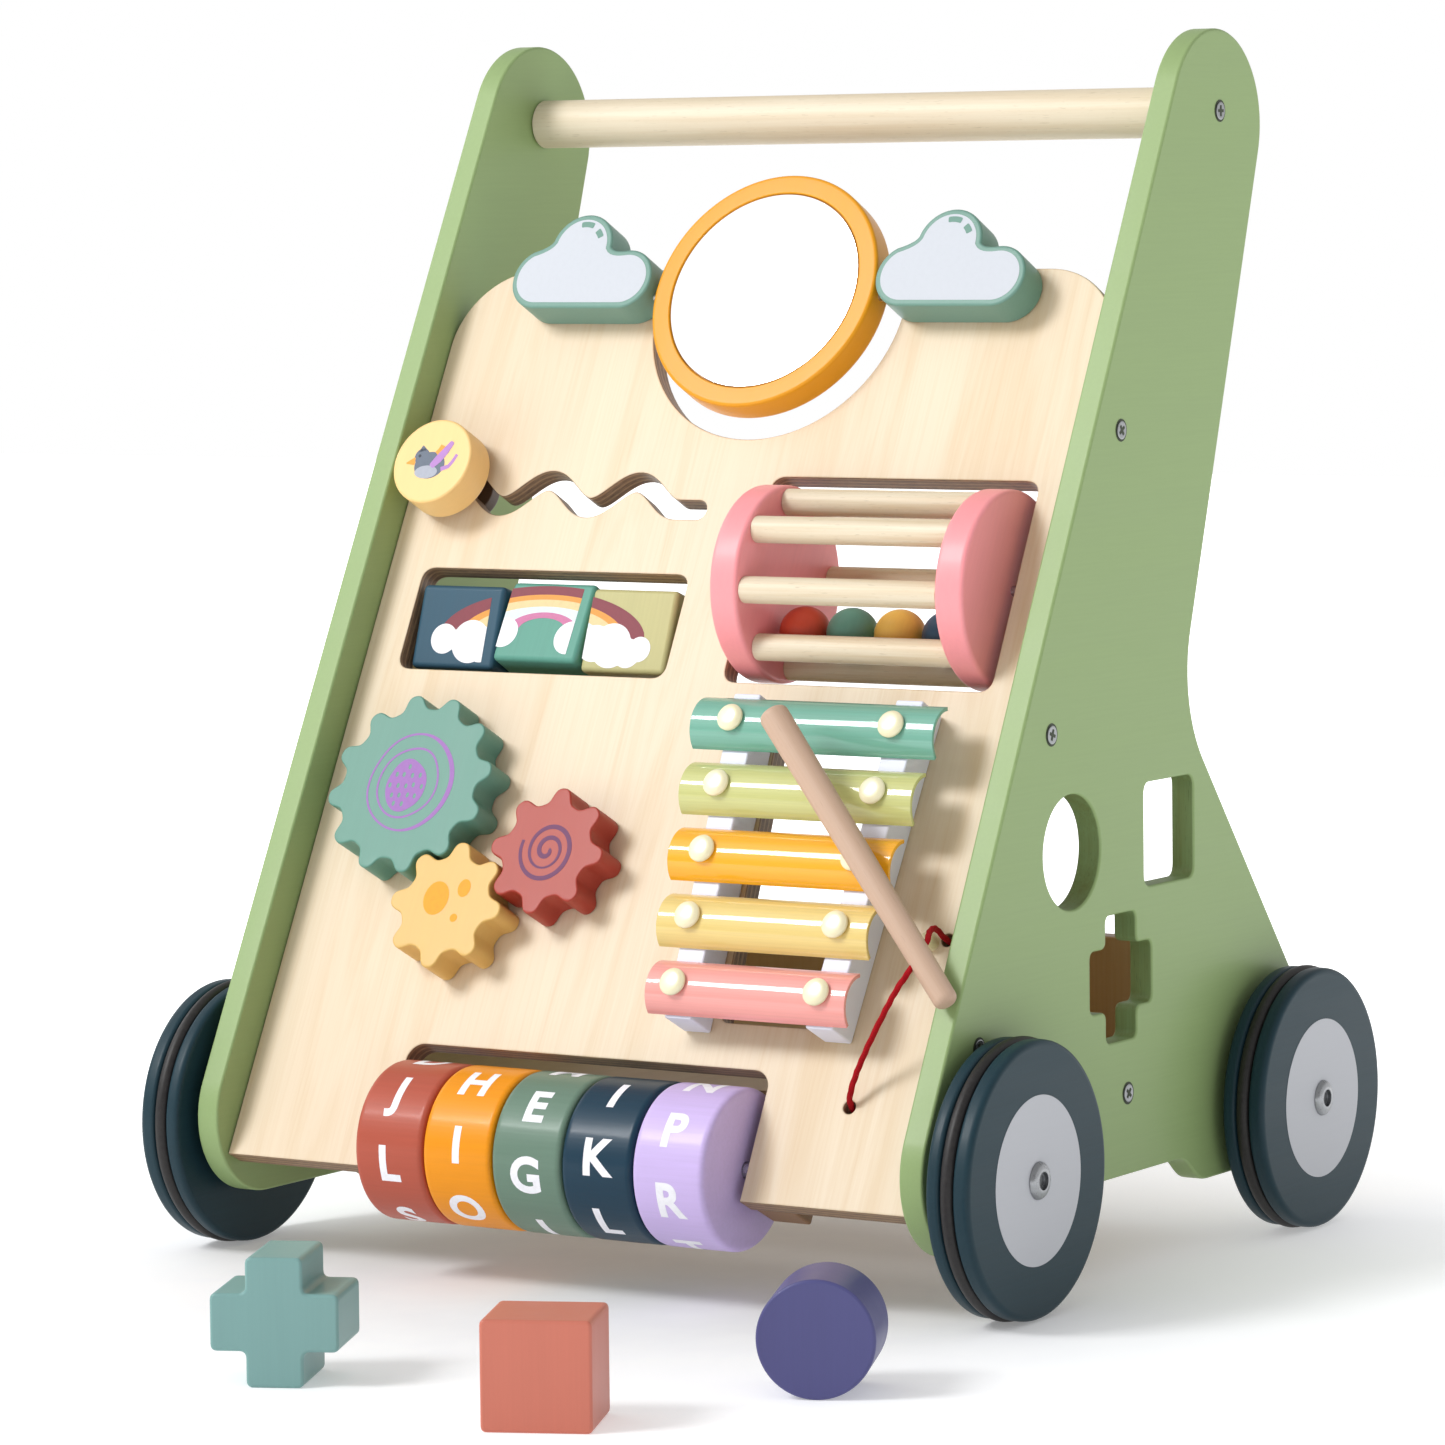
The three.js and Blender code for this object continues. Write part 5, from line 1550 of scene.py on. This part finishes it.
def add_rollers():
    white = use(ink, "letter_ink", INK_WHITE)
    half = ROLLER_WIDTH / 2
    profile = cylinder(ROLLER_RADIUS, -half, half, 2.6, bore=3.3, count=6)
    for i, (code, letters) in enumerate(zip(ROLLER_COLOURS, LETTERS)):
        number = i + 1
        body = BODY_OF[f"letter_roller_{number}"]
        centre = place(BOARD, (i - 2) * ROLLER_PITCH, ROLLER_Y, ROLLER_Z)
        coat = use(paint, f"roller_{number}_paint", code, roughness=0.4, along=2, streak=0.07,
                   relief=0.35, coat=0.16, gloss=0.24)
        show(f"roller_{number}", turned(profile, 128), centre @ ALONG_X, coat,
             node=f"letter_roller_{number}")
        for k, letter in enumerate(letters):
            turn = Matrix.Rotation(rad(k * 360 / len(letters) - FIRST_LETTER[i]), 4, "X")
            mesh = letter_mesh(letter, LETTER_SIZE, ROLLER_RADIUS + 0.05)
            show(f"letter_{number}_{k + 1}", mesh, centre @ turn, white, body=body)

    show("roller_rod", rod_mesh(AXLE_RADIUS, 89.5, 0.4),
         place(BOARD, 0, ROLLER_Y, ROLLER_Z) @ ALONG_X, use(zinc, "zinc"), node="roller_axle")
    # The supports' dark brown is painted shade from the board above them.
    wood = use(bare_wood, "shaded_support_wood", SUPPORT_WOOD_SHADED, along=0)
    for side, sign in SIDES:
        at = place(BOARD, sign * SUPPORT_X, SUPPORT_Y, -PLY - GAP - SUPPORT_SIZE[2] / 2)
        show(f"roller_support_{side}", block(*SUPPORT_SIZE, 1.0), at, wood,
             node=f"roller_block_{side}")


# ---------------- sorting blocks


BLOCK_DEPTH = 36
BLOCK_TURN = rad(24)
SQUARE_SIDE, CROSS_SPAN, CROSS_ARM, ROUND_RADIUS = 38.4, 46, 20.5, 21
BOLT_HEAD_X = 190.5


def add_blocks():
    turn = Matrix.Rotation(BLOCK_TURN, 4, "Z") @ Matrix.Rotation(math.pi / 2, 4, "X")
    front_y = -(WHEELBASE + WHEEL_RADIUS) - 2 * CENTRE_SHIFT
    right_x = BOLT_HEAD_X - 2 * CENTRE_SHIFT
    square = rectangle(0, SQUARE_SIDE / 2, SQUARE_SIDE, SQUARE_SIDE)
    shapes = {
        "square": (rounded(square, 2.2), 138.1, front_y + SQUARE_SIDE / 2 * math.sin(BLOCK_TURN)),
        "cross": (rounded(cross(0, CROSS_SPAN / 2, CROSS_SPAN, CROSS_ARM), 2.5), 14.5, -235.5),
        "round": (circle(0, ROUND_RADIUS, ROUND_RADIUS, 3),
                  right_x - ROUND_RADIUS * math.cos(BLOCK_TURN), -162),
    }
    for kind, (loop, x, y) in shapes.items():
        coat = use(paint, f"block_{kind}_paint", BLOCK_COLOURS[kind], roughness=0.42,
                   streak=0.035)
        mesh = plate([loop], BLOCK_DEPTH, 1.2, steps=4)
        base = place(WALKER, x, y) @ turn
        show(f"sorter_{kind}", mesh, place(base, z=-BLOCK_DEPTH), coat, node=f"block_{kind}")


add_camera()
add_cord()
add_studio()
add_side_panels()
add_boards()
add_wheels()
add_screws()
add_mirror()
add_clouds()
add_knob()
add_cubes()
add_drum()
add_gears()
add_chimes()
add_mallet()
add_rollers()
add_blocks()
